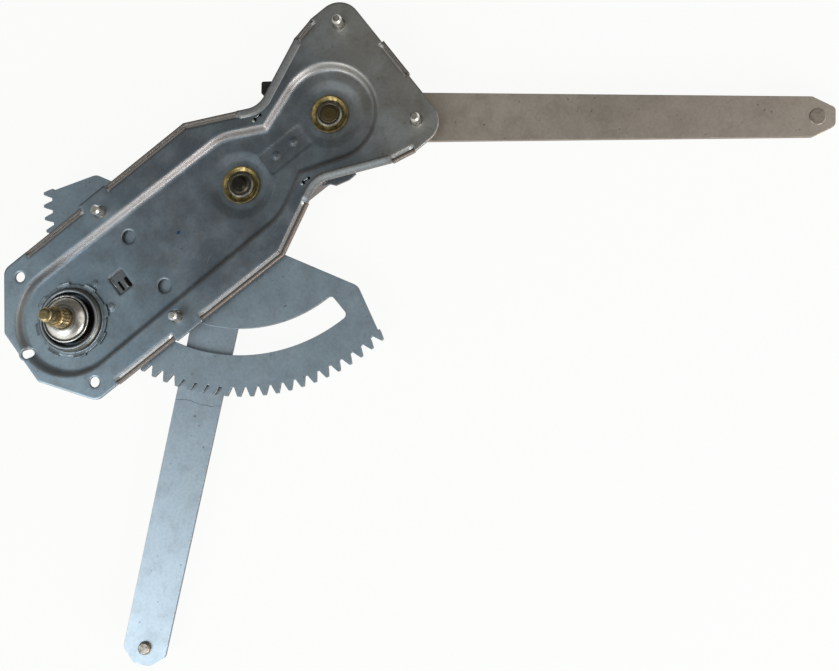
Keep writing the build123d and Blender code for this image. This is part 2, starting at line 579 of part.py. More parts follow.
with BuildPart() as sector_gear:
    with BuildSketch(level_plane(DRIVEN_PIVOT, ARM_FRONT, SECTOR_AXIS)) as sector_outline:
        with BuildLine():
            edge_angle = sector_half + sector_step * 0.2
            top = polar((0, 0), sector_root, edge_angle)
            low = polar((0, 0), sector_root, -edge_angle)
            ThreePointArc(low, (sector_root, 0), top)
            Line(top, (SECTOR_FLAT, SECTOR_SHOULDER))
            Line((SECTOR_FLAT, SECTOR_SHOULDER), (SECTOR_FLAT, -SECTOR_SHOULDER))
            Line((SECTOR_FLAT, -SECTOR_SHOULDER), low)
        make_face()
        fillet_near(sector_outline, (SECTOR_FLAT, SECTOR_SHOULDER), SECTOR_EDGE_BLEND)
        fillet_near(sector_outline, (SECTOR_FLAT, -SECTOR_SHOULDER), SECTOR_EDGE_BLEND)
        with BuildLine() as hub_web:
            blend_half = SECTOR_HUB_RADIUS + SECTOR_HUB_BLEND * 0.55
            Line((SECTOR_FLAT + 1, blend_half), (SECTOR_FLAT + 1, -blend_half))
            RadiusArc((SECTOR_FLAT + 1, -blend_half), (0, -SECTOR_HUB_RADIUS), SECTOR_HUB_BLEND)
            Line((0, -SECTOR_HUB_RADIUS), (0, SECTOR_HUB_RADIUS))
            RadiusArc((0, SECTOR_HUB_RADIUS), (SECTOR_FLAT + 1, blend_half), SECTOR_HUB_BLEND)
        make_face(hub_web.line.edges())
        Circle(SECTOR_HUB_RADIUS)
        toothed_ring(SECTOR_PITCH_RADIUS, MODULE, SECTOR_TEETH_FULL,
                     [sector_half - sector_step * number for number in range(SECTOR_TEETH)])
        with BuildLine() as slot:
            inner_ends = [polar((0, 0), SLOT_INNER_RADIUS, side * SLOT_HALF_ANGLE) for side in (1, -1)]
            outer_ends = [polar((0, 0), SLOT_OUTER_RADIUS, side * SLOT_HALF_ANGLE) for side in (1, -1)]
            ThreePointArc(inner_ends[0], (SLOT_INNER_RADIUS, 0), inner_ends[1])
            Line(inner_ends[1], outer_ends[1])
            ThreePointArc(outer_ends[1], (SLOT_OUTER_RADIUS, 0), outer_ends[0])
            Line(outer_ends[0], inner_ends[0])
        make_face(slot.line.edges(), mode=Mode.SUBTRACT)
        for side in (1, -1):
            for slot_radius in (SLOT_INNER_RADIUS, SLOT_OUTER_RADIUS):
                slot_corner = polar((0, 0), slot_radius, side * SLOT_HALF_ANGLE)
                fillet_near(sector_outline, slot_corner, SLOT_CORNER_RADIUS)
        pierce_stack(DRIVEN_ARM_ANGLE - SECTOR_AXIS)
    extrude(amount=SECTOR_SHEET)
save(sector_gear, "sector_gear")


def hub_gear(centre, first, count, arm_angle, label):
    """Toothed segment of a hub gear; first is the angle of its first tooth from +X."""
    step = 360 / HUB_TEETH_FULL
    root = HUB_PITCH_RADIUS - DEDENDUM * HUB_MODULE
    start, end = first - step * 0.3, first + (count - 0.7) * step
    with BuildPart() as gear:
        with BuildSketch() as outline:
            with BuildLine() as segment:
                Line((0, 0), polar((0, 0), root, start))
                ThreePointArc(polar((0, 0), root, start), polar((0, 0), root, (start + end) / 2),
                              polar((0, 0), root, end))
                Line(polar((0, 0), root, end), (0, 0))
            make_face(segment.line.edges())
            Circle(ARM_ROOT_RADIUS)
            toothed_ring(HUB_PITCH_RADIUS, HUB_MODULE, HUB_TEETH_FULL,
                         [first + step * number for number in range(count)])
            pierce_stack(arm_angle)
        extrude(outline.sketch.moved(Location((*centre, GEAR_BACK))), amount=HUB_GEAR_SHEET)
    save(gear, label)


hub_step = 360 / HUB_TEETH_FULL
hub_gear(DRIVEN_PIVOT, -HUB_LEAD * hub_step, HUB_TEETH, DRIVEN_ARM_ANGLE, "driven_hub_gear")
follower_first = 180 - (HUB_TEETH - HUB_LEAD - 1.5) * hub_step
hub_gear(FOLLOWER_PIVOT, follower_first, HUB_TEETH, FOLLOWER_ARM_ANGLE, "follower_hub_gear")


# ================================================================ arms
def lift_arm(centre, angle, widths, tip_start, label):
    """Flat arm from a round root to a blunt tip; tip_start is where the tip begins to narrow."""
    half_root, half_end = widths[0] / 2, widths[1] / 2
    half_tip_start = half_root + (half_end - half_root) * (1 + tip_start / ARM_LENGTH)
    with BuildPart() as arm:
        with BuildSketch() as outline:
            with BuildLine() as edge:
                Polyline(
                    (0, half_root), (ARM_LENGTH + tip_start, half_tip_start),
                    (ARM_LENGTH + ARM_TIP_REACH, ARM_TIP_HALF), (ARM_LENGTH + ARM_TIP_REACH, -ARM_TIP_HALF),
                    (ARM_LENGTH + tip_start, -half_tip_start), (0, -half_root), close=True)
            make_face(edge.line.edges())
            corners = outline.vertices().filter_by(lambda corner: corner.X > ARM_LENGTH - ARM_TIP_REACH)
            fillet(corners, ARM_CORNER_RADIUS)
            Circle(ARM_ROOT_RADIUS)
            pierce_stack(0)
            with Locations((ARM_LENGTH, 0)):
                Circle(STUD_SHANK_RADIUS, mode=Mode.SUBTRACT)
        place = Location((*centre, GEAR_FRONT), (0, 0, angle))
        extrude(outline.sketch.moved(place), amount=ARM_SHEET)
    save(arm, label)


lift_arm(DRIVEN_PIVOT, DRIVEN_ARM_ANGLE, DRIVEN_ARM_WIDTHS, DRIVEN_TIP_START, "lower_arm")
lift_arm(FOLLOWER_PIVOT, FOLLOWER_ARM_ANGLE, FOLLOWER_ARM_WIDTHS, FOLLOWER_TIP_START, "upper_arm")

with BuildPart() as follower_spacer:
    with BuildSketch(level_plane(FOLLOWER_PIVOT, ARM_FRONT, FOLLOWER_ARM_ANGLE)):
        Circle(ARM_ROOT_RADIUS)
        pierce_stack(0)
    extrude(amount=SECTOR_SHEET)
save(follower_spacer, "follower_spacer")


def stack_rivets(centre, angle, label):
    """Three rivets, flush in front and headed behind the hub gear."""
    with BuildPart() as rivets:
        with BuildSketch(level_plane(centre, GEAR_BACK, angle)) as shanks:
            with PolarLocations(RIVET_CIRCLE, RIVETS):
                Circle(RIVET_RADIUS)
        extrude(shanks.sketch, amount=SECTOR_FRONT - GEAR_BACK)
        with BuildSketch(level_plane(centre, GEAR_BACK, angle)) as heads:
            with PolarLocations(RIVET_CIRCLE, RIVETS):
                Circle(RIVET_HEAD_RADIUS)
        extrude(heads.sketch, amount=-RIVET_HEAD_HEIGHT, taper=RIVET_HEAD_TAPER)
    save(rivets, label)


stack_rivets(DRIVEN_PIVOT, DRIVEN_ARM_ANGLE, "driven_rivets")
stack_rivets(FOLLOWER_PIVOT, FOLLOWER_ARM_ANGLE, "follower_rivets")


def turned(centre, profile):
    """Solid of revolution about a vertical axis at a centre, from (radius, height) points."""
    with BuildPart() as body:
        with BuildSketch(Plane(origin=(*centre, 0), x_dir=(1, 0, 0), z_dir=(0, -1, 0))) as half:
            with BuildLine() as edge:
                Polyline(*profile, close=True)
            make_face(edge.line.edges())
        revolve(half.sketch, axis=Axis((*centre, 0), (0, 0, 1)))
    return body


for bush_centre, bush_label in ((DRIVEN_PIVOT, "lower_arm_bush"), (FOLLOWER_PIVOT, "upper_arm_bush")):
    bore = PIN_RADIUS + RUN_FIT
    save(turned(bush_centre, [(bore, GEAR_BACK), (BUSH_RADIUS, GEAR_BACK),
                              (BUSH_RADIUS, SECTOR_FRONT), (bore, SECTOR_FRONT)]), bush_label)


# ================================================================ rollers
flange_back = GEAR_FRONT - ROLLER_FLANGE_HEIGHT
roller_front = flange_back - RUN_GAP
roller_back = roller_front - ROLLER_WIDTH
head_front = roller_back - RUN_GAP


def roller_stud(centre, front, label):
    """Stud through the arm tip: front is its outline ahead of the arm, then flange, journal and head."""
    head_back = head_front - ROLLER_HEAD_HEIGHT
    save(turned(centre, [
        (0, head_back), (ROLLER_HEAD_RADIUS - 0.5, head_back), (ROLLER_HEAD_RADIUS, head_back + 0.5),
        (ROLLER_HEAD_RADIUS, head_front), (STUD_SHANK_RADIUS, head_front), (STUD_SHANK_RADIUS, flange_back),
        (ROLLER_FLANGE_RADIUS, flange_back), (ROLLER_FLANGE_RADIUS, GEAR_FRONT),
        (STUD_SHANK_RADIUS, GEAR_FRONT), (STUD_SHANK_RADIUS, ARM_FRONT), *front]), label)


def roller(centre, label):
    """Waisted roller that turns on its stud."""
    bore = STUD_SHANK_RADIUS + RUN_FIT
    waist = ROLLER_RADIUS - ROLLER_GROOVE
    save(turned(centre, [
        (bore, roller_back), (ROLLER_RADIUS - 0.5, roller_back), (ROLLER_RADIUS, roller_back + 0.5),
        (ROLLER_RADIUS, roller_back + 1.4), (waist, roller_back + 2.2), (waist, roller_front - 2.2),
        (ROLLER_RADIUS, roller_front - 1.4), (ROLLER_RADIUS, roller_front - 0.5),
        (ROLLER_RADIUS - 0.5, roller_front), (bore, roller_front)]), label)


lower_tip = polar(DRIVEN_PIVOT, ARM_LENGTH, DRIVEN_ARM_ANGLE)
upper_tip = polar(FOLLOWER_PIVOT, ARM_LENGTH, FOLLOWER_ARM_ANGLE)
roller_stud(lower_tip, [(STUB_RADIUS, ARM_FRONT), (STUB_RADIUS, ARM_FRONT + STUB_HEIGHT - 0.5),
                        (STUB_RADIUS - 0.5, ARM_FRONT + STUB_HEIGHT), (0, ARM_FRONT + STUB_HEIGHT)],
            "lower_roller_stud")
roller_stud(upper_tip, [(STAKE_RADIUS, ARM_FRONT), (STAKE_RADIUS, ARM_FRONT + STAKE_HEIGHT / 2),
                        (STAKE_RADIUS - 0.4, ARM_FRONT + STAKE_HEIGHT), (0, ARM_FRONT + STAKE_HEIGHT)],
            "upper_roller_stud")
roller(lower_tip, "lower_roller")
roller(upper_tip, "upper_roller")


# ================================================================ rear bridge and buffer
with BuildPart() as gear_bridge:
    with BuildSketch(Plane.XY.offset(BRIDGE_FRONT)):
        with Locations((BRIDGE_CENTRE, 0)):
            Rectangle(2 * BRIDGE_HALF_LENGTH, 2 * BRIDGE_LEG_HALF)
    extrude(amount=-BRACKET_SHEET)
    for side in (1, -1):
        with BuildSketch(Plane.XY.offset(BRIDGE_BACK)):
            with Locations((BRIDGE_CENTRE, side * (BRIDGE_LEG_HALF - BRACKET_SHEET / 2))):
                Rectangle(2 * BRIDGE_HALF_LENGTH, BRACKET_SHEET)
        extrude(amount=-SHEET - BRIDGE_BACK)
        with BuildSketch(Plane.XY.offset(-SHEET)):
            with Locations((BRIDGE_CENTRE, side * (FOOT_OUTER_HALF + BRIDGE_LEG_HALF) / 2)):
                Rectangle(2 * BRIDGE_HALF_LENGTH, BRIDGE_LEG_HALF - FOOT_OUTER_HALF)
            with Locations((BRIDGE_FEET[0], side * (FOOT_INNER_HALF + BRIDGE_LEG_HALF) / 2)):
                Rectangle(FOOT_TONGUE, BRIDGE_LEG_HALF - FOOT_INNER_HALF)
        extrude(amount=-BRACKET_SHEET)
        with BuildSketch(Plane.XY.offset(WING_TOP)):
            with BuildLine():
                Polyline(*[(BRIDGE_CENTRE + x, side * (BRIDGE_LEG_HALF + y)) for x, y in WING_OUTLINE],
                         close=True)
            make_face()
        extrude(amount=-BRACKET_SHEET)
    outer_bends = gear_bridge.edges().filter_by(Axis.X).filter_by(
        lambda edge: abs(edge.center().Z - BRIDGE_BACK) < 0.01 and abs(edge.center().Y) > FOOT_OUTER_HALF)
    fillet(outer_bends, BEND_RADIUS)
    with Locations((*BUFFER_CENTRE, WING_TOP)):
        Hole(BUFFER_NECK_RADIUS)
save(gear_bridge, "gear_bridge")

with BuildPart() as rubber_buffer:
    with BuildSketch(Plane.XY.offset(WING_TOP)):
        with Locations(Location((*BUFFER_CENTRE, 0), (0, 0, BUFFER_ANGLE))):
            RectangleRounded(*BUFFER_SIZE, BUFFER_CORNER)
    extrude(amount=BUFFER_HEIGHT)
    chamfer(rubber_buffer.faces().sort_by(Axis.Z)[-1].edges(), 0.6)
    with BuildSketch(Plane.XY.offset(WING_TOP)):
        with Locations(BUFFER_CENTRE):
            Circle(BUFFER_NECK_RADIUS)
    extrude(amount=-BRACKET_SHEET)
    with BuildSketch(Plane.XY.offset(WING_TOP - BRACKET_SHEET)):
        with Locations(BUFFER_CENTRE):
            Circle(BUFFER_NECK_RADIUS + BUFFER_CORNER)
    extrude(amount=-BUFFER_BUTTON, taper=20)
save(rubber_buffer, "rubber_buffer")


# ================================================================ crank brake
flange_top = FLOOR_FRONT + DRUM_SHEET
shoulder = DRUM_LEDGE_TOP - (DRUM_RADIUS - DRUM_LEDGE_RADIUS)
with BuildPart() as drum_housing:
    with BuildSketch(Plane.XZ):
        with BuildLine():
            Polyline(
                (DRUM_BORE_RADIUS, FLOOR_FRONT), (DRUM_FLANGE_RADIUS, FLOOR_FRONT),
                (DRUM_FLANGE_RADIUS, flange_top), (DRUM_RADIUS, flange_top), (DRUM_RADIUS, shoulder))
            RadiusArc((DRUM_RADIUS, shoulder), (DRUM_LEDGE_RADIUS, DRUM_LEDGE_TOP),
                      -(DRUM_RADIUS - DRUM_LEDGE_RADIUS))
            Polyline(
                (DRUM_LEDGE_RADIUS, DRUM_LEDGE_TOP), (DRUM_MOUTH_RADIUS + DRUM_SHEET, DRUM_LEDGE_TOP),
                (DRUM_MOUTH_RADIUS + DRUM_SHEET, DRUM_MOUTH_TOP), (DRUM_MOUTH_RADIUS, DRUM_MOUTH_TOP),
                (DRUM_MOUTH_RADIUS, DRUM_LEDGE_TOP - DRUM_ROOF), (DRUM_BORE_RADIUS, DRUM_LEDGE_TOP - DRUM_ROOF),
                (DRUM_BORE_RADIUS, FLOOR_FRONT))
        make_face()
    revolve(axis=Axis.Z)
    with BuildSketch(Plane.XY.offset(FLOOR_FRONT)):
        with PolarLocations(DRUM_FLANGE_RADIUS - DRUM_TAB_REACH, DRUM_TABS, start_angle=180 / DRUM_TABS):
            Rectangle(4 * DRUM_TAB_REACH, DRUM_TAB_WIDTH)
        Circle(DRUM_RADIUS - SHEET / 2, mode=Mode.SUBTRACT)
    extrude(amount=DRUM_TAB_HEIGHT)
save(drum_housing, "drum_housing")

bearing_top = flange_top + RUN_GAP
save(turned(CRANK, [
    (SHAFT_RADIUS + RUN_FIT, FLOOR_BACK), (PLATE_CRANK_HOLE, FLOOR_BACK), (PLATE_CRANK_HOLE, FLOOR_FRONT),
    (BEARING_FLANGE_RADIUS, FLOOR_FRONT), (BEARING_FLANGE_RADIUS, bearing_top),
    (SHAFT_RADIUS + RUN_FIT, bearing_top)]), "bearing_bush")

core_bottom = bearing_top + RUN_GAP
core_top = core_bottom + CORE_HEIGHT
with BuildPart() as brake_core:
    with BuildSketch(Plane.XY.offset(core_bottom)):
        Circle(CORE_RADIUS)
        Circle(SHAFT_RADIUS, mode=Mode.SUBTRACT)
    extrude(amount=CORE_HEIGHT)
save(brake_core, "brake_core")

pinion_front = FLOOR_BACK - RUN_GAP
pinion_back = ARM_FRONT + PINION_BACK_GAP
with BuildPart() as pinion:
    with BuildSketch(Plane.XY.offset(pinion_back)):
        Circle(PINION_PITCH_RADIUS - DEDENDUM * MODULE)
        toothed_ring(PINION_PITCH_RADIUS, MODULE, PINION_TEETH,
                     [PINION_TOOTH_ANGLE + 360 / PINION_TEETH * number for number in range(PINION_TEETH)],
                     addendum=PINION_ADDENDUM, foot=PINION_FOOT)
    extrude(amount=pinion_front - pinion_back)
    with BuildSketch(Plane.XY.offset(pinion_back)):
        Circle(SHAFT_RADIUS)
    extrude(amount=core_top - pinion_back)
save(pinion, "pinion")

spring_radius = DRUM_BORE_RADIUS - RUN_GAP - SPRING_WIRE / 2
spring_bottom = FLOOR_FRONT + RUN_GAP + SPRING_WIRE / 2
with BuildPart() as brake_spring:
    with BuildLine(Plane.XY.offset(spring_bottom)):
        coil = Helix(SPRING_PITCH, SPRING_PITCH * SPRING_TURNS, spring_radius)
    with BuildSketch(Plane(origin=coil @ 0, x_dir=(0, 0, 1), z_dir=coil % 0)):
        Rectangle(SPRING_WIRE, SPRING_WIRE)
    sweep(is_frenet=True)
save(brake_spring, "brake_spring")

collar_rim = DRUM_MOUTH_RADIUS - COLLAR_GAP
collar_bottom = DRUM_LEDGE_TOP - DRUM_ROOF
with BuildPart() as crank_collar:
    with BuildSketch(Plane.XZ):
        with BuildLine():
            Polyline(
                (COLLAR_HUB_RADIUS, COLLAR_HUB_TOP), (SPINDLE_RADIUS, COLLAR_HUB_TOP),
                (SPINDLE_RADIUS, COLLAR_RIM_TOP), (collar_rim - DRUM_SHEET, COLLAR_RIM_TOP - DRUM_SHEET),
                (collar_rim - DRUM_SHEET, collar_bottom), (collar_rim, collar_bottom), (collar_rim, COLLAR_RIM_TOP))
            RadiusArc((collar_rim, COLLAR_RIM_TOP), (COLLAR_HUB_RADIUS, COLLAR_HUB_TOP), -COLLAR_DOME_RADIUS)
        make_face()
    revolve(axis=Axis.Z)
save(crank_collar, "crank_collar")

spindle_bottom = core_top + RUN_GAP
tip_round = SPINDLE_TIP_RADIUS * 0.45
with BuildPart() as crank_spindle:
    with BuildSketch(Plane.XZ):
        with BuildLine():
            Polyline(
                (0, SPINDLE_TOP), (0, spindle_bottom), (SPINDLE_RADIUS, spindle_bottom),
                (SPINDLE_RADIUS, SERRATION_TOP - SERRATION_DEPTH),
                (SPINDLE_RADIUS - SERRATION_DEPTH, SERRATION_TOP), (SPINDLE_NECK_RADIUS, SERRATION_TOP),
                (SPINDLE_NECK_RADIUS, SERRATION_TOP + SPINDLE_NECK_LENGTH),
                (SPINDLE_TIP_RADIUS, SERRATION_TOP + SPINDLE_NECK_LENGTH + 0.6),
                (SPINDLE_TIP_RADIUS, SPINDLE_TOP - tip_round))
            RadiusArc((SPINDLE_TIP_RADIUS, SPINDLE_TOP - tip_round),
                      (SPINDLE_TIP_RADIUS - tip_round, SPINDLE_TOP), -tip_round)
            Line((SPINDLE_TIP_RADIUS - tip_round, SPINDLE_TOP), (0, SPINDLE_TOP))
        make_face()
    revolve(axis=Axis.Z)
    with BuildSketch(Plane.XY.offset(SERRATION_BOTTOM)):
        with PolarLocations(SPINDLE_RADIUS, SERRATIONS):
            RegularPolygon(SERRATION_DEPTH, 3, rotation=180)
    extrude(amount=SERRATION_TOP - SERRATION_BOTTOM, mode=Mode.SUBTRACT)
save(crank_spindle, "crank_spindle")
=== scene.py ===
"""Dresses the manual twin-arm window regulator and stages it over a pale studio floor.

Every length is in metres unless its name ends in mm. The frame is the CAD model's own: the origin
is on the crank's axis at the mounting face, +X runs to the pivots and +Z leaves the crank side.
"""

import logging
import math
from dataclasses import dataclass, field, replace
from enum import Enum
from typing import Any

import bpy
import numpy as np
from mathutils import Matrix, Vector


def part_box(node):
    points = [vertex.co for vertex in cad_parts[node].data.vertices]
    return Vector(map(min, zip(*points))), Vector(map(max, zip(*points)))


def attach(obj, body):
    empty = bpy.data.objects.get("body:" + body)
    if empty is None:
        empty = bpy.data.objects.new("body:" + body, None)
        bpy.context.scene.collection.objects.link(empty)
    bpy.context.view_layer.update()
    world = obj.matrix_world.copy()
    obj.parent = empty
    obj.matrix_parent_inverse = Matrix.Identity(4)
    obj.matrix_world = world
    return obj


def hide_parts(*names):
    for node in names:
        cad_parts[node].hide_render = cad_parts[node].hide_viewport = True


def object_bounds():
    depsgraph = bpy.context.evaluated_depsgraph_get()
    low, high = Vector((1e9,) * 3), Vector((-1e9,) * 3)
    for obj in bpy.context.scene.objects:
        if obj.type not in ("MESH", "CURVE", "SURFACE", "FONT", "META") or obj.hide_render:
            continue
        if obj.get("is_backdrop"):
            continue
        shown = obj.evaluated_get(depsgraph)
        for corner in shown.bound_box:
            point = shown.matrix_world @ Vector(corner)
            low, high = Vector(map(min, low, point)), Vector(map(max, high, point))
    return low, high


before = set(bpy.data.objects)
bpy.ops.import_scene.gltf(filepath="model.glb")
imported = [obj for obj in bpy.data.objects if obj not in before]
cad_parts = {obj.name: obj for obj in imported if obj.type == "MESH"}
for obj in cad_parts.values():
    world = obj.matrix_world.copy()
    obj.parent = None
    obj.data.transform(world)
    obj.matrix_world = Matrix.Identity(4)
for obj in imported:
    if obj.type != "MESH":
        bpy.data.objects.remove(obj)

LOG = logging.getLogger("window_regulator")
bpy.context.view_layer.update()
MM = 0.001
CRANK = (0.0, 0.0)
DRIVEN_PIVOT = (133.75 * MM, 0.0)
FOLLOWER_PIVOT = (202.5 * MM, 0.0)
SHARP_EDGE = math.radians(40)
SOFT_LIMIT_MM = 0.25
ROUNDING_RAYS = 8
STANDING = (0.1, 0.3)  # a normal's rise on an upright wall, and on one that no longer counts
SMOOTH = {"interpolation_type": "SMOOTHSTEP"}

Colour = tuple[float, float, float, float]
Feed = bpy.types.Node | bpy.types.NodeSocket
Place = tuple[float, float, float]
Point = tuple[float, float]


def linear(hex_colour: str) -> Colour:
    """Turn an sRGB hex colour into linear RGBA.

    Args:
        hex_colour: Six digits after a hash.

    Returns:
        Linear red, green, blue and an alpha of one.
    """
    channels = [int(hex_colour[start:start + 2], 16) / 255 for start in (1, 3, 5)]
    bent = [c / 12.92 if c <= 0.04045 else ((c + 0.055) / 1.055) ** 2.4 for c in channels]
    return (*bent, 1.0)


def wire(tree: bpy.types.NodeTree, node: bpy.types.Node, inputs: dict[Any, Any]) -> None:
    """Set a node's inputs to plain values, or link them.

    Args:
        tree: Node tree that holds the node.
        node: The node.
        inputs: Socket name or number to a value, to the output socket that feeds it, or to the
            node whose first output in use feeds it.
    """
    for key, value in inputs.items():
        if isinstance(value, bpy.types.Node):
            value = next(output for output in value.outputs if output.enabled)
        if isinstance(value, bpy.types.NodeSocket):
            tree.links.new(value, node.inputs[key])
        else:
            node.inputs[key].default_value = value


def add_node(tree: bpy.types.NodeTree, kind: str, inputs: dict[Any, Any] | None = None,
             **settings: Any) -> bpy.types.Node:
    """Add a shader node with its settings, input values and links.

    Args:
        tree: Node tree that receives the node.
        kind: Blender's identifier of the node.
        inputs: Its inputs, as wire takes them.
        settings: Attributes of the node itself.

    Returns:
        The new node.
    """
    node = tree.nodes.new(kind)
    for name, value in settings.items():
        setattr(node, name, value)
    wire(tree, node, inputs or {})
    return node


def per_metre(size_mm: float) -> float:
    """Texture scale at which one feature measures size_mm."""
    return 1.0 / (size_mm * MM)


@dataclass(frozen=True)
class Layer:
    """A tint that a cloudy pattern lays over a finish.

    A feature of the pattern measures size_mm, and stretch times that along an x that is turned
    by some degrees about Z. The tint's share rises from nothing where the pattern is at its
    first limit to most at its second. Rough is the weight of the finer octaves.
    """

    size_mm: float
    limits: Point = (0.0, 1.0)
    most: float = 1.0
    tint: str = "#ffffff"
    blend: str = "MIX"
    octaves: float = 2.0
    rough: float = 0.5
    stretch: float = 1.0
    turn: float = 0.0


@dataclass
class Surface:
    """One material's tree, with the patterns that the finishes here share."""

    name: str

    def __post_init__(self) -> None:
        """Start an empty material with its shader and Object coordinates."""
        self.material = bpy.data.materials.new(self.name)
        self.material.use_nodes = True
        self.tree = self.material.node_tree
        self.tree.nodes.clear()
        self.shader = add_node(self.tree, "ShaderNodeBsdfPrincipled")
        add_node(self.tree, "ShaderNodeOutputMaterial", {"Surface": self.shader})
        self.place = add_node(self.tree, "ShaderNodeTexCoord").outputs["Object"]
        self.axes = add_node(self.tree, "ShaderNodeSeparateXYZ", {0: self.place}).outputs

    def cloud(self, layer: Layer) -> Feed:
        """A layer's pattern, from 0 to 1."""
        # two steps, because a mapping scales before it turns
        turned = add_node(self.tree, "ShaderNodeMapping", {
            "Vector": self.place, "Rotation": (0, 0, -math.radians(layer.turn))})
        scaled = add_node(self.tree, "ShaderNodeMapping", {
            "Vector": turned, "Scale": (1 / layer.stretch, 1, 1)})
        return add_node(self.tree, "ShaderNodeTexNoise", {
            "Vector": scaled, "Scale": per_metre(layer.size_mm), "Detail": layer.octaves,
            "Roughness": layer.rough})

    def over(self, tint: Any, colour: Any, pattern: Feed, limits: Point, most: float = 1.0,
             blend: str = "MIX") -> Feed:
        """Lay a colour over a tint where a pattern has passed its limits.

        The colour's share rises smoothly from 0 at the first limit to most at the second, which
        may be the lower one, and holds beyond both.

        Args:
            tint: Colour or feed underneath.
            colour: Colour or feed on top.
            pattern: What decides the share.
            limits: Values of the pattern at which the share starts and is full.
            most: The full share.
            blend: Blender's name of the blend.

        Returns:
            The blended colour.
        """
        share = add_node(self.tree, "ShaderNodeMapRange", {
            "Value": pattern, "From Min": limits[0], "From Max": limits[1], "To Max": most},
            **SMOOTH)
        return add_node(self.tree, "ShaderNodeMix", {0: share, 6: tint, 7: colour},
                        data_type="RGBA", blend_type=blend)

    def lay(self, tint: Any, layer: Layer, pattern: Feed | None = None) -> Feed:
        """Lay a layer over a tint.

        Args:
            tint: Colour or feed underneath.
            layer: The layer.
            pattern: Its pattern, where the finish has made it already.

        Returns:
            The blended colour.
        """
        if pattern is None:
            pattern = self.cloud(layer)
        return self.over(tint, linear(layer.tint), pattern, layer.limits, layer.most, layer.blend)

    def wander(self, layer: Layer, length: Feed, reach: float) -> Feed:
        """Shift a length by a layer's pattern, by at most half the reach either way."""
        shift = add_node(self.tree, "ShaderNodeMath", {
            0: self.cloud(layer), 1: reach, 2: -reach / 2}, operation="MULTIPLY_ADD")
        return add_node(self.tree, "ShaderNodeMath", {0: length, 1: shift}, operation="ADD")

    def radius(self, centre: Point) -> Feed:
        """Distance of a point from a vertical axis: the length of its x and y offsets."""
        moved = add_node(self.tree, "ShaderNodeMapping", {
            "Vector": self.place, "Location": (-centre[0], -centre[1], 0.0)})
        flat = add_node(self.tree, "ShaderNodeVectorMath", {0: moved, 1: (1.0, 1.0, 0.0)},
                        operation="MULTIPLY")
        return add_node(self.tree, "ShaderNodeVectorMath", {0: flat}, operation="LENGTH")

    def between(self, value: Feed, limits_mm: Point) -> Feed:
        """1 where a length lies between two limits in mm, 0 from a soft border outside them."""
        low, high = limits_mm
        half = (high - low) / 2 * MM
        offset = add_node(self.tree, "ShaderNodeMath", {0: value, 1: (low + high) / 2 * MM},
                          operation="SUBTRACT")
        away = add_node(self.tree, "ShaderNodeMath", {0: offset}, operation="ABSOLUTE")
        return add_node(self.tree, "ShaderNodeMapRange", {
            "Value": away, "From Min": half, "From Max": half + SOFT_LIMIT_MM * MM,
            "To Min": 1.0, "To Max": 0.0}, **SMOOTH)

    def inside(self, middle_mm: Point, halves_mm: Point) -> Feed:
        """1 inside a rectangle in x and y: the product of both axes' shares."""
        shares = [self.between(axis, (centre - half, centre + half))
                  for axis, centre, half in zip(self.axes, middle_mm, halves_mm)]
        return add_node(self.tree, "ShaderNodeMath", dict(enumerate(shares)),
                        operation="MULTIPLY")

    def upright(self) -> Feed:
        """1 on walls that stand upright, 0 on faces that lean more than a few degrees."""
        normal = add_node(self.tree, "ShaderNodeNewGeometry").outputs["True Normal"]
        rise = add_node(self.tree, "ShaderNodeSeparateXYZ", {0: normal}).outputs[2]
        lean = add_node(self.tree, "ShaderNodeMath", {0: rise}, operation="ABSOLUTE")
        return add_node(self.tree, "ShaderNodeMapRange", {
            "Value": lean, "From Min": STANDING[0], "From Max": STANDING[1], "To Min": 1.0,
            "To Max": 0.0}, **SMOOTH)

    def relief(self, height: Feed, depth_mm: float, bend: Any = 0.25 * MM) -> None:
        """Drive the shader's normal by a height pattern over edges that are rounded.

        Args:
            height: Pattern from 0 to 1.
            depth_mm: Height of the pattern at 1.
            bend: Radius in metres, or its feed, to which the light rounds every edge.
        """
        rounded = add_node(self.tree, "ShaderNodeBevel", {"Radius": bend},
                           samples=ROUNDING_RAYS)
        bump = add_node(self.tree, "ShaderNodeBump", {
            "Height": height, "Distance": depth_mm * MM, "Normal": rounded})
        wire(self.tree, self.shader, {"Normal": bump})

    def paint(self, tint: Feed, roughness: Any, metallic: float) -> bpy.types.Material:
        """Set the shader's main sockets and hand over the material.

        Args:
            tint: What feeds the colour.
            roughness: Plain value, or the node that feeds it.
            metallic: Plain value, set on the socket itself.

        Returns:
            The finished material.
        """
        wire(self.tree, self.shader, {
            "Base Color": tint, "Roughness": roughness, "Metallic": metallic})
        return self.material


@dataclass(frozen=True)
class DrawnWalls:
    """Where a pressing was drawn, in mm.

    It holds the heights between which its walls and its dimples lie and how widely each bends,
    the heights that a warm, light tint covers, which paints the bright band of light along the
    drawn walls, with the places along x between which that tint's share falls, and the pocket that
    is darkened as painted shade.
    """

    wall_mm: Point = (-4.75, -0.25)
    wall_bend_mm: float = 3.6
    dimple_mm: Point = (-5.95, -5.05)
    dimple_bend_mm: float = 2.6
    # warm, light tint laid on the drawn walls, which paints the bright band of light along them
    tint: str = "#b3a69d"
    tint_mm: Point = (-4.2, -0.25)
    fade_mm: Point = (150.0, 240.0)
    fade_shares: Point = (0.5, 0.25)
    pocket_middle_mm: Point = (38.3, 0.0)
    pocket_halves_mm: Point = (5.6, 6.9)
    # painted shade darkening the stop pocket
    pocket_shade: str = "#35322e"
    pocket_shade_share: float = 0.3


@dataclass(frozen=True)
class Crease:
    """A fine dark line pressed into a sheet at a distance from an axis, and how far it wanders."""

    centre: Point
    distance: float
    width: float = 0.3 * MM
    reach: float = 6 * MM
    share: float = 0.7
    tint: str = "#3d3f40"
    cloud: Layer = Layer(12.0, octaves=3.0)


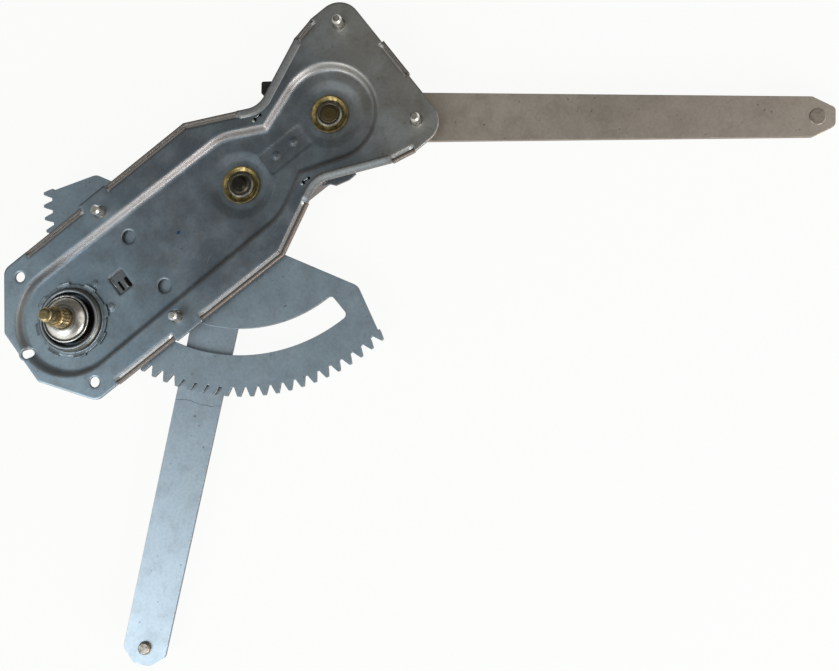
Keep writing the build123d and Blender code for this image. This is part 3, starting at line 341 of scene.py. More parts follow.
@dataclass(frozen=True)
class SheetZinc:
    """Electroplated zinc on cold-rolled steel sheet: a dull metal with rolling grain, fine
    scratches, pale blotches where it was handled and bare brown steel on its cuts. Its tints
    follow one another along x, each reached at its own place in drift. The blotches also roughen
    it, by worn_rough between the limits worn."""

    name: str
    tints: tuple[str, ...]
    drift: tuple[float, ...]
    stain: str
    grain_turn: float = 0.0
    cloud: float = 0.16
    roughness: float = 0.42
    metallic: float = 0.85
    bare_edge: str = "#6f5f55"
    bare_share: float = 0.75
    bend_mm: float = 0.3
    drawn: DrawnWalls | None = None
    crease: Crease | None = None
    blotch: Layer = Layer(26.0, (0.38, 0.72), octaves=4.0, rough=0.6)
    film: Layer = Layer(11.0, (0.45, 0.7), tint="#6e645b", octaves=3.0, rough=0.65)
    mottle: Layer = Layer(1.8, (0.3, 0.7), 0.12, blend="OVERLAY")
    # real grain and scratches are about a tenth as wide: coarser here, so that they show
    grain: Layer = Layer(0.35, octaves=1.0, stretch=60.0)
    scratch: Layer = Layer(0.5, (0.7, 0.76), 0.45, "#c9ced0", stretch=70.0, turn=34.0)
    speck: Layer = Layer(2.4, (0.74, 0.79), 0.5, "#3a332d", octaves=1.0)
    worn: Point = (0.3, 0.75)
    worn_rough: Point = (-0.04, 0.06)
    cut_rough: float = 0.1
    grain_height: float = 0.25
    relief_mm: float = 0.02

    def material(self) -> bpy.types.Material:
        """Build the plated sheet's material.

        Returns:
            The finished material.
        """
        surface = Surface(self.name)
        tree = surface.tree
        tint: Any = linear(self.tints[0])
        for limits, colour in zip(zip(self.drift, self.drift[1:]), self.tints[1:]):
            tint = surface.over(tint, linear(colour), surface.axes[0], limits)
        blotch, mottle = surface.cloud(self.blotch), surface.cloud(self.mottle)
        tint = surface.lay(tint, replace(self.blotch, tint=self.stain, most=self.cloud), blotch)
        tint = surface.lay(tint, replace(self.film, most=self.cloud))
        tint = surface.lay(tint, self.mottle, mottle)
        tint = surface.lay(tint, replace(self.scratch, turn=self.grain_turn + self.scratch.turn))
        tint = surface.lay(tint, self.speck)
        if self.crease is not None:
            tint = self.creased(surface, tint, self.crease)
        bend: Any = self.bend_mm * MM
        if self.drawn is not None:
            tint, bend = self.drawn_sheen_shade_and_bends(surface, tint, self.drawn)
        cut = surface.upright()
        bare = add_node(tree, "ShaderNodeMath", {0: cut, 1: self.bare_share},
                        operation="MULTIPLY")
        tint = add_node(tree, "ShaderNodeMix", {0: bare, 6: tint, 7: linear(self.bare_edge)},
                        data_type="RGBA")
        worn = add_node(tree, "ShaderNodeMapRange", {
            "Value": blotch, "From Min": self.worn[0], "From Max": self.worn[1],
            "To Min": self.roughness + self.worn_rough[0],
            "To Max": self.roughness + self.worn_rough[1]}, **SMOOTH)
        rough = add_node(tree, "ShaderNodeMath", {0: cut, 1: self.cut_rough, 2: worn},
                         operation="MULTIPLY_ADD")
        grain = surface.cloud(replace(self.grain, turn=self.grain_turn))
        height = add_node(tree, "ShaderNodeMath", {0: grain, 1: self.grain_height, 2: mottle},
                          operation="MULTIPLY_ADD")
        surface.relief(height, self.relief_mm, bend)
        return surface.paint(tint, rough, self.metallic)

    def creased(self, surface: Surface, tint: Feed, crease: Crease) -> Feed:
        """Draw the crease over a tint.

        Args:
            surface: The material's tree.
            tint: What the crease lies over.
            crease: Its place and look.

        Returns:
            The blended colour.
        """
        radius = surface.wander(crease.cloud, surface.radius(crease.centre), crease.reach)
        offset = add_node(surface.tree, "ShaderNodeMath", {0: radius, 1: crease.distance},
                          operation="SUBTRACT")
        away = add_node(surface.tree, "ShaderNodeMath", {0: offset}, operation="ABSOLUTE")
        return surface.over(tint, linear(crease.tint), away, (crease.width, 0.0), crease.share)

    def drawn_sheen_shade_and_bends(self, surface: Surface, tint: Feed, drawn: DrawnWalls) -> tuple[Feed, Feed]:
        """Lay the warm, light tint that paints a highlight on the drawn walls, paint shade into the
        pocket and widen the bends where the sheet was drawn.

        The bend's radius is the largest of the sheet's own, the walls' on the walls and the
        dimples' on the dimples.

        Args:
            surface: The material's tree.
            tint: The sheet's tint.
            drawn: Where it was drawn.

        Returns:
            The blended colour and the bend's radius.
        """
        tree, height = surface.tree, surface.axes[2]
        bend: Any = self.bend_mm * MM
        for limits, radius in ((drawn.wall_mm, drawn.wall_bend_mm),
                               (drawn.dimple_mm, drawn.dimple_bend_mm)):
            wide = add_node(tree, "ShaderNodeMath", {
                0: surface.between(height, limits), 1: radius * MM}, operation="MULTIPLY")
            bend = add_node(tree, "ShaderNodeMath", {0: wide, 1: bend}, operation="MAXIMUM")
        fading = add_node(tree, "ShaderNodeMapRange", {
            "Value": surface.axes[0], "From Min": drawn.fade_mm[0] * MM,
            "From Max": drawn.fade_mm[1] * MM, "To Min": drawn.fade_shares[0],
            "To Max": drawn.fade_shares[1]}, **SMOOTH)
        pocket = surface.inside(drawn.pocket_middle_mm, drawn.pocket_halves_mm)
        # painted highlight on the drawn walls, painted shade in the pocket
        for where, share, colour in (
                (surface.between(height, drawn.tint_mm), fading, drawn.tint),
                (pocket, drawn.pocket_shade_share, drawn.pocket_shade)):
            part = add_node(tree, "ShaderNodeMath", {0: where, 1: share}, operation="MULTIPLY")
            tint = add_node(tree, "ShaderNodeMix", {0: part, 6: tint, 7: linear(colour)},
                            data_type="RGBA")
        return tint, bend


@dataclass(frozen=True)
class TurnedMetal:
    """Metal turned on a lathe: fine rings about its axis, and bands of other tints from the centre
    outwards where it was staked, greased or rubbed bright, and on the drum and the collar painted
    shade and a painted highlight. Each band gives the radius in mm at which it ends; tint and shade
    hold beyond the last. Wall shade is the dark tint painted on its upright walls as shade."""

    name: str
    tint: str
    shade: str
    centre: Point
    bands: tuple[tuple[float, str], ...] = ()
    roughness: float = 0.3
    metallic: float = 0.95
    wall_shade: str = ""
    band_blur_mm: float = 0.15
    # real turning marks lie about 0.1 mm apart: wider here, so that they show
    ring_mm: float = 0.5
    ring_limits: Point = (0.35, 0.65)
    ring_share: float = 0.3
    shade_limits: Point = (0.35, 0.7)
    patch: Layer = Layer(2.5, (0.45, 0.75), 0.25, "#4a4238", octaves=3.0)
    worn: Point = (0.3, 0.7)
    worn_rough: float = 0.12
    relief_mm: float = 0.03

    def material(self) -> bpy.types.Material:
        """Build the turned metal's material.

        Returns:
            The finished material.
        """
        surface = Surface(self.name)
        tint, shade = linear(self.tint), linear(self.shade)
        radius, patch = surface.radius(self.centre), surface.cloud(self.patch)
        rings = add_node(surface.tree, "ShaderNodeTexNoise", {
            "W": radius, "Scale": per_metre(self.ring_mm), "Detail": 2.0}, noise_dimensions="1D")
        tint = surface.over(tint, shade, patch, self.shade_limits)
        for reach, colour in reversed(self.bands):
            limits = ((reach + self.band_blur_mm) * MM, (reach - self.band_blur_mm) * MM)
            tint = surface.over(tint, linear(colour), radius, limits)
        tint = surface.over(tint, shade, rings, self.ring_limits, self.ring_share, "MULTIPLY")
        tint = surface.lay(tint, self.patch, patch)
        # upright walls painted dark as shade
        if self.wall_shade:
            tint = add_node(surface.tree, "ShaderNodeMix", {
                0: surface.upright(), 6: tint, 7: linear(self.wall_shade)}, data_type="RGBA")
        rough = add_node(surface.tree, "ShaderNodeMapRange", {
            "Value": patch, "From Min": self.worn[0], "From Max": self.worn[1],
            "To Min": self.roughness, "To Max": self.roughness + self.worn_rough}, **SMOOTH)
        surface.relief(rings, self.relief_mm)
        return surface.paint(tint, rough, self.metallic)


@dataclass(frozen=True)
class Moulded:
    """Moulded rubber or nylon: an even colour with a slightly uneven, fine-grained skin."""

    name: str
    tint: str
    shade: str
    roughness: float
    cloud: Layer = Layer(5.0, (0.3, 0.7))
    # the real grain is under 0.1 mm: coarser here, so that it shows
    skin: Layer = Layer(0.7)
    relief_mm: float = 0.03

    def material(self) -> bpy.types.Material:
        """Build the moulded material.

        Returns:
            The finished material.
        """
        surface = Surface(self.name)
        tint = surface.lay(linear(self.tint), replace(self.cloud, tint=self.shade))
        surface.relief(surface.cloud(self.skin), self.relief_mm)
        return surface.paint(tint, self.roughness, 0.0)


def middle(node: str) -> Point:
    """Centre of a CAD node's box in x and y."""
    low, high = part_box(node)
    return ((low[0] + high[0]) / 2, (low[1] + high[1]) / 2)


def dress(node: str, material: bpy.types.Material) -> None:
    """Give a CAD node a finish in place of its plain one.

    Args:
        node: Name of the node.
        material: Its finish.
    """
    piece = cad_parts[node]
    for number in range(len(piece.material_slots)):
        piece.material_slots[number].material = material
    LOG.info("dressed %s in %s", node, material.name)


@dataclass
class PlateAssembly:
    """The stamped plate with what is fixed on it."""

    # plated, then drawn: dull blue-grey, paler and bluer towards -x, which paints the light falling
    # from that side, and warm grey at the head
    plate: SheetZinc = SheetZinc(
        "zinc_plated_pressing", ("#a2b4c0", "#8c9da9", "#6c757d", "#6a7279", "#a19e98"),
        (-0.03, 0.02, 0.10, 0.18, 0.25), "#b4bfc5", cloud=0.26, bend_mm=2.0, drawn=DrawnWalls())
    # the same plating, left flat: an even mid grey
    bridge: SheetZinc = SheetZinc("zinc_plated_bracket", ("#808890",), (0.0,), "#9aa2a8")
    # moulded rubber: near black with a soft sheen
    rubber: Moulded = Moulded("black_rubber", "#101012", "#1c1c1f", 0.7)
    # bright zinc on turned steel: pale, with fine rings
    stud: TurnedMetal = TurnedMetal("bright_zinc_stud", "#ece9e2", "#b9b3a6", (0.055, 0.041),
                                    roughness=0.24)

    def build(self) -> None:
        """Dress the plate, its bridge, its buffer and its studs."""
        for node, finish in (("base_plate", self.plate), ("gear_bridge", self.bridge),
                             ("rubber_buffer", self.rubber), ("mounting_studs", self.stud)):
            dress(node, finish.material())


def grid_faces(rows: int, columns: int) -> np.ndarray:
    """Quads between neighbouring points of a grid whose last column joins the first.

    Args:
        rows: Points along the first parameter.
        columns: Points round the second.

    Returns:
        Four point numbers a quad: the point, its next in the row, and the same two a row on.
    """
    row, column = np.meshgrid(np.arange(rows - 1), np.arange(columns), indexing="ij")
    here, beside = row * columns + column, row * columns + (column + 1) % columns
    return np.stack((here, beside, beside + columns, here + columns), axis=-1).reshape(-1, 4)


def add_piece(name: str, points: np.ndarray, faces: list[list[int]], across: np.ndarray,
              material: bpy.types.Material, body: str = "frame") -> bpy.types.Object:
    """Put points and faces into a smooth piece that rides on a body.

    Args:
        name: Name of the piece.
        points: Places in metres, one row a point.
        faces: Point numbers of each face.
        across: One number a point, kept as the attribute "across" for the finish.
        material: The piece's finish.
        body: Body that carries it.

    Returns:
        The new object.
    """
    mesh = bpy.data.meshes.new(name)
    mesh.from_pydata(points.tolist(), [], faces)
    shares = mesh.attributes.new("across", "FLOAT", "POINT")
    shares.data.foreach_set("value", across.astype(np.float32))
    mesh.polygons.foreach_set("use_smooth", np.ones(len(mesh.polygons), dtype=bool))
    mesh.set_sharp_from_angle(angle=SHARP_EDGE)
    mesh.materials.append(material)
    mesh.update()
    piece = bpy.data.objects.new(name, mesh)
    bpy.context.scene.collection.objects.link(piece)
    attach(piece, body)
    LOG.info("made %s with %d faces", name, len(faces))
    return piece


@dataclass(frozen=True)
class FoldedZinc:
    """Zinc that was folded over after plating, its tints following one another at stops across the
    strip: a painted highlight along the bend, painted shade in the groove and brown where the
    sheet's cut edge faces up. The attribute "across" runs from 0 at the cut edge's outer side to 1
    on the flat face."""

    name: str
    stops: tuple[tuple[float, str], ...]
    roughness: float = 0.4
    metallic: float = 0.85
    relief_mm: float = 0.02
    uneven: Layer = Layer(3.0, octaves=3.0)
    uneven_share: float = 0.05
    mottle: Layer = Layer(1.8, (0.3, 0.7), 0.2, blend="OVERLAY")

    def material(self) -> bpy.types.Material:
        """Build the fold's material, its tints following one another at the stops.

        Returns:
            The finished material.
        """
        surface = Surface(self.name)
        share = add_node(surface.tree, "ShaderNodeAttribute", attribute_name="across")
        across = surface.wander(self.uneven, share.outputs["Fac"], self.uneven_share)
        tint: Any = linear(self.stops[0][1])
        for (start, _), (end, colour) in zip(self.stops, self.stops[1:]):
            tint = surface.over(tint, linear(colour), across, (start, end))
        mottle = surface.cloud(self.mottle)
        tint = surface.lay(tint, self.mottle, mottle)
        surface.relief(mottle, self.relief_mm)
        return surface.paint(tint, self.roughness, self.metallic)


@dataclass
class TurnedEdges:
    """The plate's turned edges: strips with a soft shoulder, a narrow groove and the cut edge, and
    along both sides of the waist a rolled edge that rounds the corner at waist_radius.

    Lengths are in mm. Each run follows the strip's outer side, with the plate on its left. A
    profile's points give the distance in from that side and the height. Sheet is the strip's own
    thickness, and over fade its ends sink to the level sunk, just under the plate's face.
    """

    runs: tuple[tuple[Point, ...], ...] = (
        ((1.6, -51.2), (46.4, -51.2)),
        ((66.2, -52.2), (128.75, -52.2), (159.67, -36.36)),
        ((214.5, -49.6), (229.0, -52.6)),
        ((255.1, -12.8), (255.1, 12.8)),
        ((229.0, 52.6), (214.5, 49.6)),
        ((159.67, 36.36), (128.75, 52.2), (66.2, 52.2)),
        ((46.4, 51.2), (1.6, 51.2)),
    )
    profile: tuple[Point, ...] = (
        (0.02, -1.2), (0.0, -0.6), (0.12, -0.25), (0.4, -0.05), (0.8, -0.02), (1.2, -0.06),
        (1.5, -0.15), (1.68, -0.5), (1.85, -0.95), (2.05, -1.1), (2.3, -1.02), (2.8, -0.88),
        (3.6, -0.66), (4.4, -0.44), (5.0, -0.28), (5.6, -0.11), (5.9, -0.045), (6.1, -0.04),
        (6.5, -0.08))
    waists: tuple[tuple[Point, Point, Point], ...] = (
        ((159.4, -36.5), (171.7, -30.2), (214.2, -49.46)),
        ((214.2, 49.46), (171.7, 30.2), (159.4, 36.5)),
    )
    waist_radius: float = 14.0
    waist_points: int = 24
    waist_profile: tuple[Point, ...] = (
        (-0.12, -1.2), (-0.15, -0.5), (-0.08, -0.15), (0.1, 0.0), (0.6, 0.12), (1.4, 0.28),
        (2.3, 0.48), (3.1, 0.6), (3.8, 0.62), (4.4, 0.48), (4.9, 0.2), (5.3, -0.06))
    fade: float = 3.2
    step: float = 0.5
    fewest_steps: int = 8
    sheet: float = 0.2
    sunk: float = -0.04
    # folded over after plating: brown cut edge; painted shade in the groove and painted highlights
    # on the lip and along the bend
    finish: FoldedZinc = FoldedZinc("folded_zinc_edge", (
        (0.0, "#66594f"), (0.07, "#786c64"), (0.13, "#9b938c"), (0.2, "#7d736b"),
        (0.25, "#2b2927"), (0.32, "#77736f"), (0.38, "#c9c8c5"), (0.74, "#c6c5c2"),
        (0.83, "#767069"), (0.89, "#c3c8ca"), (1.0, "#9aa7b0")))
    # rolled after plating: the pale band along the bend is a painted highlight
    waist_finish: FoldedZinc = FoldedZinc("rolled_zinc_waist", (
        (0.0, "#7f7b77"), (0.08, "#989998"), (0.35, "#b3b6b7"), (0.72, "#aeb0b0"),
        (0.88, "#86827d"), (1.0, "#8e9aa3")))

    def build(self) -> None:
        """Make one strip for each run, and a rolled edge along both sides of the waist."""
        material = self.finish.material()
        for number, run in enumerate(self.runs, 1):
            self.strip(f"turned_edge_{number}", np.array(run), self.profile, material)
        rolled = self.waist_finish.material()
        for number, waist in enumerate(self.waists, 1):
            run = self.rounded(*np.array(waist))
            self.strip(f"rolled_waist_{number}", run, self.waist_profile, rolled)

    def rounded(self, start: np.ndarray, corner: np.ndarray, end: np.ndarray) -> np.ndarray:
        """Round a run's corner.

        The arc touches both legs. Its centre lies on their bisector, the radius over the sine of
        the half angle from the corner, and its points turn evenly from one leg to the other.

        Args:
            start: First point of the run.
            corner: Point where its legs meet.
            end: Last point.

        Returns:
            The run's points.
        """
        ways = np.stack((start - corner, end - corner))
        ways /= np.hypot(*ways.T)[:, None]
        half = math.acos(float(ways[0] @ ways[1])) / 2
        bisector = ways.sum(axis=0) / np.hypot(*ways.sum(axis=0))
        centre = corner + bisector * self.waist_radius / math.sin(half)
        arms = corner + ways * self.waist_radius / math.tan(half) - centre
        first, last = np.arctan2(arms[:, 1], arms[:, 0])
        swing = (last - first + np.pi) % (2 * np.pi) - np.pi
        turn = first + swing * np.linspace(0.0, 1.0, self.waist_points)
        arc = centre + self.waist_radius * np.stack((np.cos(turn), np.sin(turn)), axis=1)
        return np.concatenate((start[None], arc, end[None]))

    def strip(self, name: str, run: np.ndarray, profile: tuple[Point, ...],
              material: bpy.types.Material) -> None:
        """Carry the profile along a run.

        A point lies its profile distance to the left of the run. Its height blends from the sunk
        level at both ends to the profile's over the fade, by 3 e^2 - 2 e^3 of the share e. The
        underside is the same surface one sheet lower, and both ends are closed.

        Args:
            name: Name of the piece.
            run: Corner points of the strip's outer side.
            profile: The section across the strip.
            material: The strip's finish.
        """
        reach = np.concatenate(([0.0], np.cumsum(np.hypot(*np.diff(run, axis=0).T))))
        travel = np.linspace(0.0, reach[-1], max(self.fewest_steps, int(reach[-1] / self.step)))
        spine = np.stack([np.interp(travel, reach, run[:, axis]) for axis in (0, 1)], axis=1)
        along = np.gradient(spine, axis=0)
        side = np.stack((-along[:, 1], along[:, 0]), axis=1) / np.hypot(*along.T)[:, None]
        share = np.clip(np.minimum(travel, reach[-1] - travel) / self.fade, 0.0, 1.0)
        ease = share * share * (3 - 2 * share)
        across, height = np.array(profile).T
        top = ease[:, None] * height[None] + (1 - ease[:, None]) * self.sunk
        loop_across = np.concatenate((across, across[::-1]))
        loop_height = np.concatenate((top, top[:, ::-1] - self.sheet), axis=1)
        flat = spine[:, None] + side[:, None] * loop_across[None, :, None]
        points = np.concatenate((flat, loop_height[:, :, None]), axis=2).reshape(-1, 3) * MM
        columns = len(loop_across)
        faces = grid_faces(len(travel), columns).tolist()
        last = (len(travel) - 1) * columns
        faces += [list(range(columns))[::-1], list(range(last, last + columns))]
        add_piece(name, points, [face[::-1] for face in faces],
                  np.tile(loop_across / across.max(), len(travel)), material)


class MarkTint(Enum):
    """What a small mark on the plate shows: a hole in shade, light grey zinc on the tongues that
    also paints highlights beside the pits and along the slots, a pocket floor darkened as painted
    shade, or ink.
    """

    PIT = ("shaded_pit", "#12110f")
    TONGUE = ("tongue_and_edge_highlight", "#a9adad")
    POCKET = ("shaded_zinc_pocket", "#7d8184")
    INK = ("blue_ink_dot", "#3a5784")

    def material(self) -> bpy.types.Material:
        """Build the mark's plain finish.

        Returns:
            The finished material.
        """
        name, tint = self.value
        return FoldedZinc(name, ((0.0, tint), (1.0, tint))).material()


@dataclass(frozen=True)
class Mark:
    """One low closed dome on the plate, its lengths in mm: its middle, half axes, the level that it
    stands on, its rise over it, and how square its outline is, from 1 for an ellipse."""

    tint: MarkTint
    middle: Point
    halves: Point
    level: float = 0.0
    rise: float = 0.04
    square: float = 1.0


@dataclass
class PlateMarks:
    """The plate's small marks: over each foot of the bridge two dark pits with a slit and a pressed
    tongue between them, in the stop pocket two sheared slots, and an inspector's ink dot."""

    feet: tuple[Point, ...] = ((166.9, 25.0), (166.9, -25.0))
    foot_marks: tuple[Mark, ...] = (
        Mark(MarkTint.PIT, (-1.9, 0.0), (0.95, 1.25)),
        Mark(MarkTint.PIT, (2.3, 0.1), (0.85, 1.0)),
        Mark(MarkTint.PIT, (0.2, 0.1), (2.0, 0.35), rise=0.03),
        # light grey tongues: raised zinc that also paints the highlights beside the pits
        Mark(MarkTint.TONGUE, (-3.2, 0.2), (0.8, 1.1), rise=0.3),
        Mark(MarkTint.TONGUE, (0.4, 0.75), (1.3, 0.4), rise=0.2),
    )
    plate_marks: tuple[Mark, ...] = (
        # the pocket's floor, darker grey as painted shade
        Mark(MarkTint.POCKET, (38.3, 0.0), (5.0, 6.2), -6.1, 0.06, 0.25),
        Mark(MarkTint.PIT, (37.0, -2.1), (0.85, 3.4), -6.02, 0.06, 0.35),
        Mark(MarkTint.PIT, (41.9, -2.5), (1.15, 3.4), -6.02, 0.06, 0.35),
        # light grey tongues that also paint highlights along the pocket's slots
        Mark(MarkTint.TONGUE, (40.2, -3.0), (0.4, 2.5), -6.05, 0.35, 0.6),
        Mark(MarkTint.TONGUE, (34.0, 2.5), (0.45, 3.2), -6.05, 0.7, 0.6),
        Mark(MarkTint.INK, (85.3, 1.3), (1.3, 1.0), -5.0, 0.02),
    )
    rings: int = 8
    turns: int = 40
    base: float = 0.1

    def build(self) -> None:
        """Make every mark."""
        finishes = {tint: tint.material() for tint in MarkTint}
        marks = [*self.plate_marks, *(replace(mark, middle=(x + mark.middle[0], y + mark.middle[1]))
                                      for x, y in self.feet for mark in self.foot_marks)]
        for number, mark in enumerate(marks, 1):
            self.dome(f"{mark.tint.name.lower()}_mark_{number}", mark, finishes[mark.tint])

    def dome(self, name: str, mark: Mark, material: bpy.types.Material) -> None:
        """Make one mark.

        With the share r from the middle and the turn a, a point lies at r times the half axes
        times cos a and sin a, each raised to the power of the squareness with its sign kept, and at
        the rise times 1 - r^4. The base is the same outline, its own depth under the level.

        Args:
            name: Name of the piece.
            mark: Its sizes.
            material: Its finish.
        """
        share = np.concatenate((np.linspace(0.0, 1.0, self.rings)[1:], [1.0]))
        turn = np.linspace(0.0, 2 * np.pi, self.turns, endpoint=False)
        outline = [np.sign(wave) * np.abs(wave) ** mark.square
                   for wave in (np.cos(turn), np.sin(turn))]
        height = mark.level + np.concatenate((mark.rise * (1 - share[:-1] ** 4), [-self.base]))
        ring = np.stack((mark.middle[0] + mark.halves[0] * share[:, None] * outline[0],
                         mark.middle[1] + mark.halves[1] * share[:, None] * outline[1],
                         np.repeat(height[:, None], len(turn), axis=1)), axis=2).reshape(-1, 3)
        poles = [[*mark.middle, mark.level + mark.rise], [*mark.middle, mark.level - self.base]]
        points = np.concatenate((ring, poles)) * MM
        columns, pole = len(turn), len(ring)
        faces = [face[::-1] for face in grid_faces(len(share), columns).tolist()]
        cap = np.stack((np.arange(columns), (np.arange(columns) + 1) % columns), axis=1)
        last = (len(share) - 1) * columns
        faces += [[pole, here, beside] for here, beside in cap.tolist()]
        faces += [[pole + 1, beside, here] for here, beside in (cap + last).tolist()]
        add_piece(name, points, faces, np.zeros(len(points)), material)


@dataclass
class Pivots:
    """Both pivots: riveted pins, washers, bushes and rivets."""

    # staked steel: dark in the middle, rubbed bright round the staking
    driven_pin: TurnedMetal = TurnedMetal("staked_pin_steel", "#8d8a80", "#69665e", DRIVEN_PIVOT, (
        (3.4, "#3d3a33"), (4.6, "#37342d"), (5.2, "#6b665b"), (6.3, "#827e73"),
        (6.7, "#4c4a43")), 0.34)
    # staked steel that has browned: thin rust inside a bright ring
    follower_pin: TurnedMetal = TurnedMetal(
        "browned_pin_steel", "#8f8c80", "#6f6b60", FOLLOWER_PIVOT,
        ((4.4, "#6f6140"), (5.3, "#5c4c38"), (5.9, "#8b877a"), (6.6, "#5c5443")), 0.36)
    # yellow chromate over zinc: dull gold
    yellow: TurnedMetal = TurnedMetal("yellow_passivated_zinc", "#b09c68", "#7d6e4a",
                                      DRIVEN_PIVOT)
    # bare turned steel: plain grey with a clean gloss
    plain: TurnedMetal = TurnedMetal("plain_turned_steel", "#a9abad", "#7c7e80", FOLLOWER_PIVOT)
    # pressed and sintered bronze: brown and matt
    bronze: TurnedMetal = TurnedMetal("sintered_bronze", "#a07c4a", "#6e5534", DRIVEN_PIVOT,
                                      roughness=0.5)

    def build(self) -> None:
        """Dress the pins, washers, bushes and rivets."""
        for finish, nodes in (
                (self.driven_pin, ("driven_pivot_pin",)),
                (self.follower_pin, ("follower_pivot_pin",)),
                (self.yellow, ("front_washers",)),
                (self.plain, ("rear_washers", "follower_spacer", "driven_rivets",
                              "follower_rivets")),
                (self.bronze, ("lower_arm_bush", "upper_arm_bush", "bearing_bush"))):
            material = finish.material()
            for node in nodes:
                dress(node, material)


@dataclass
class LiftGear:
    """The sector, the hub gears, both arms and their rollers."""

    # blanked and plated: even blue-grey, brown on the cut teeth
    sector: SheetZinc = SheetZinc("zinc_plated_sector", ("#9aa9b3",), (0.0,), "#a9b5bd", 30.0)
    # fresh zinc: pale and bluish, with one dark crease, and paler towards -x, which paints the
    # light falling from that side
    lower: SheetZinc = SheetZinc(
        "pale_zinc_arm", ("#bfd1df", "#98a6b1"), (-0.08, 0.08), "#c8d2d8", 41.0,
        roughness=0.5, crease=Crease(DRIVEN_PIVOT, 135.2 * MM))
    # aged zinc: a warm, even grey
    upper: SheetZinc = SheetZinc(
        "warm_zinc_arm", ("#cbbfb2", "#b8aca0"), (0.2, 0.42), "#cdc4b9", -40.0)
    # fine-blanked steel: darker, with clean flanks
    gear: SheetZinc = SheetZinc("fine_blanked_steel", ("#777b80",), (0.0,), "#8b8f93")
    # undyed nylon: cream and half matt
    nylon: Moulded = Moulded("natural_nylon", "#ddd6c6", "#cfc6b2", 0.45)
    # tint and shade of each roller stud's turned steel, which matches its arm
    stud_tints: dict[str, tuple[str, str]] = field(default_factory=lambda: {
        "lower": ("#aaa59c", "#7d786f"), "upper": ("#b9ada1", "#a79b8f")})

    def build(self) -> None:
        """Dress the gears, arms, roller studs and rollers."""
        dress("sector_gear", self.sector.material())
        dress("lower_arm", self.lower.material())
        dress("upper_arm", self.upper.material())
        gear = self.gear.material()
        for node in ("driven_hub_gear", "follower_hub_gear", "pinion"):
            dress(node, gear)
        nylon = self.nylon.material()
        for side in ("lower", "upper"):
            stud = f"{side}_roller_stud"
            tint, shade = self.stud_tints[side]
            dress(stud, TurnedMetal(f"{stud}_steel", tint, shade, middle(stud)).material())
            dress(f"{side}_roller", nylon)


@dataclass
class TurnedForm:
    """A closed surface of revolution about the crank's axis, with or without tabs round its rim.

    Lengths are in mm. The profile runs round the section's outline, each point with the share of
    the tabs' reach and rise that it takes part in. A tab's half turn is in radians.
    """

    name: str
    profile: tuple[tuple[float, float, float], ...]
    tabs: int = 0
    tab_half_turn: float = 0.18
    tab_reach: float = 1.3
    tab_rise: float = 0.4
    tab_flank: float = 0.01
    turns: int = 360

    def make(self, material: bpy.types.Material, body: str, slot: str) -> bpy.types.Object:
        """Revolve the profile.

        A point at the turn a lies at its radius plus its share of the tab's reach, and at its
        height plus its share of the tab's rise. A tab counts 1 within its half turn of one of the
        evenly spread middles, and falls to 0 over its flank.

        Args:
            material: The form's finish.
            body: Body that carries it.
            slot: The record's material slot; not used.

        Returns:
            The new piece.
        """
        radius, height, share = np.array(self.profile).T
        turn = np.linspace(0.0, 2 * np.pi, self.turns, endpoint=False)
        tab = np.zeros_like(turn)
        if self.tabs:
            pitch = 2 * np.pi / self.tabs
            away = np.abs(turn % pitch - pitch / 2)
            tab = np.clip((self.tab_half_turn - away) / self.tab_flank, 0.0, 1.0)
        reach = radius[:, None] + share[:, None] * tab * self.tab_reach
        rise = height[:, None] + share[:, None] * tab * self.tab_rise
        points = np.stack((reach * np.cos(turn), reach * np.sin(turn), rise), axis=2)
        points = points.reshape(-1, 3) * MM
        # the row after the last is the first one again, which closes the section
        faces = grid_faces(len(radius) + 1, self.turns) % len(points)
        return add_piece(self.name, points, faces.tolist(), np.zeros(len(points)), material,
                         body)


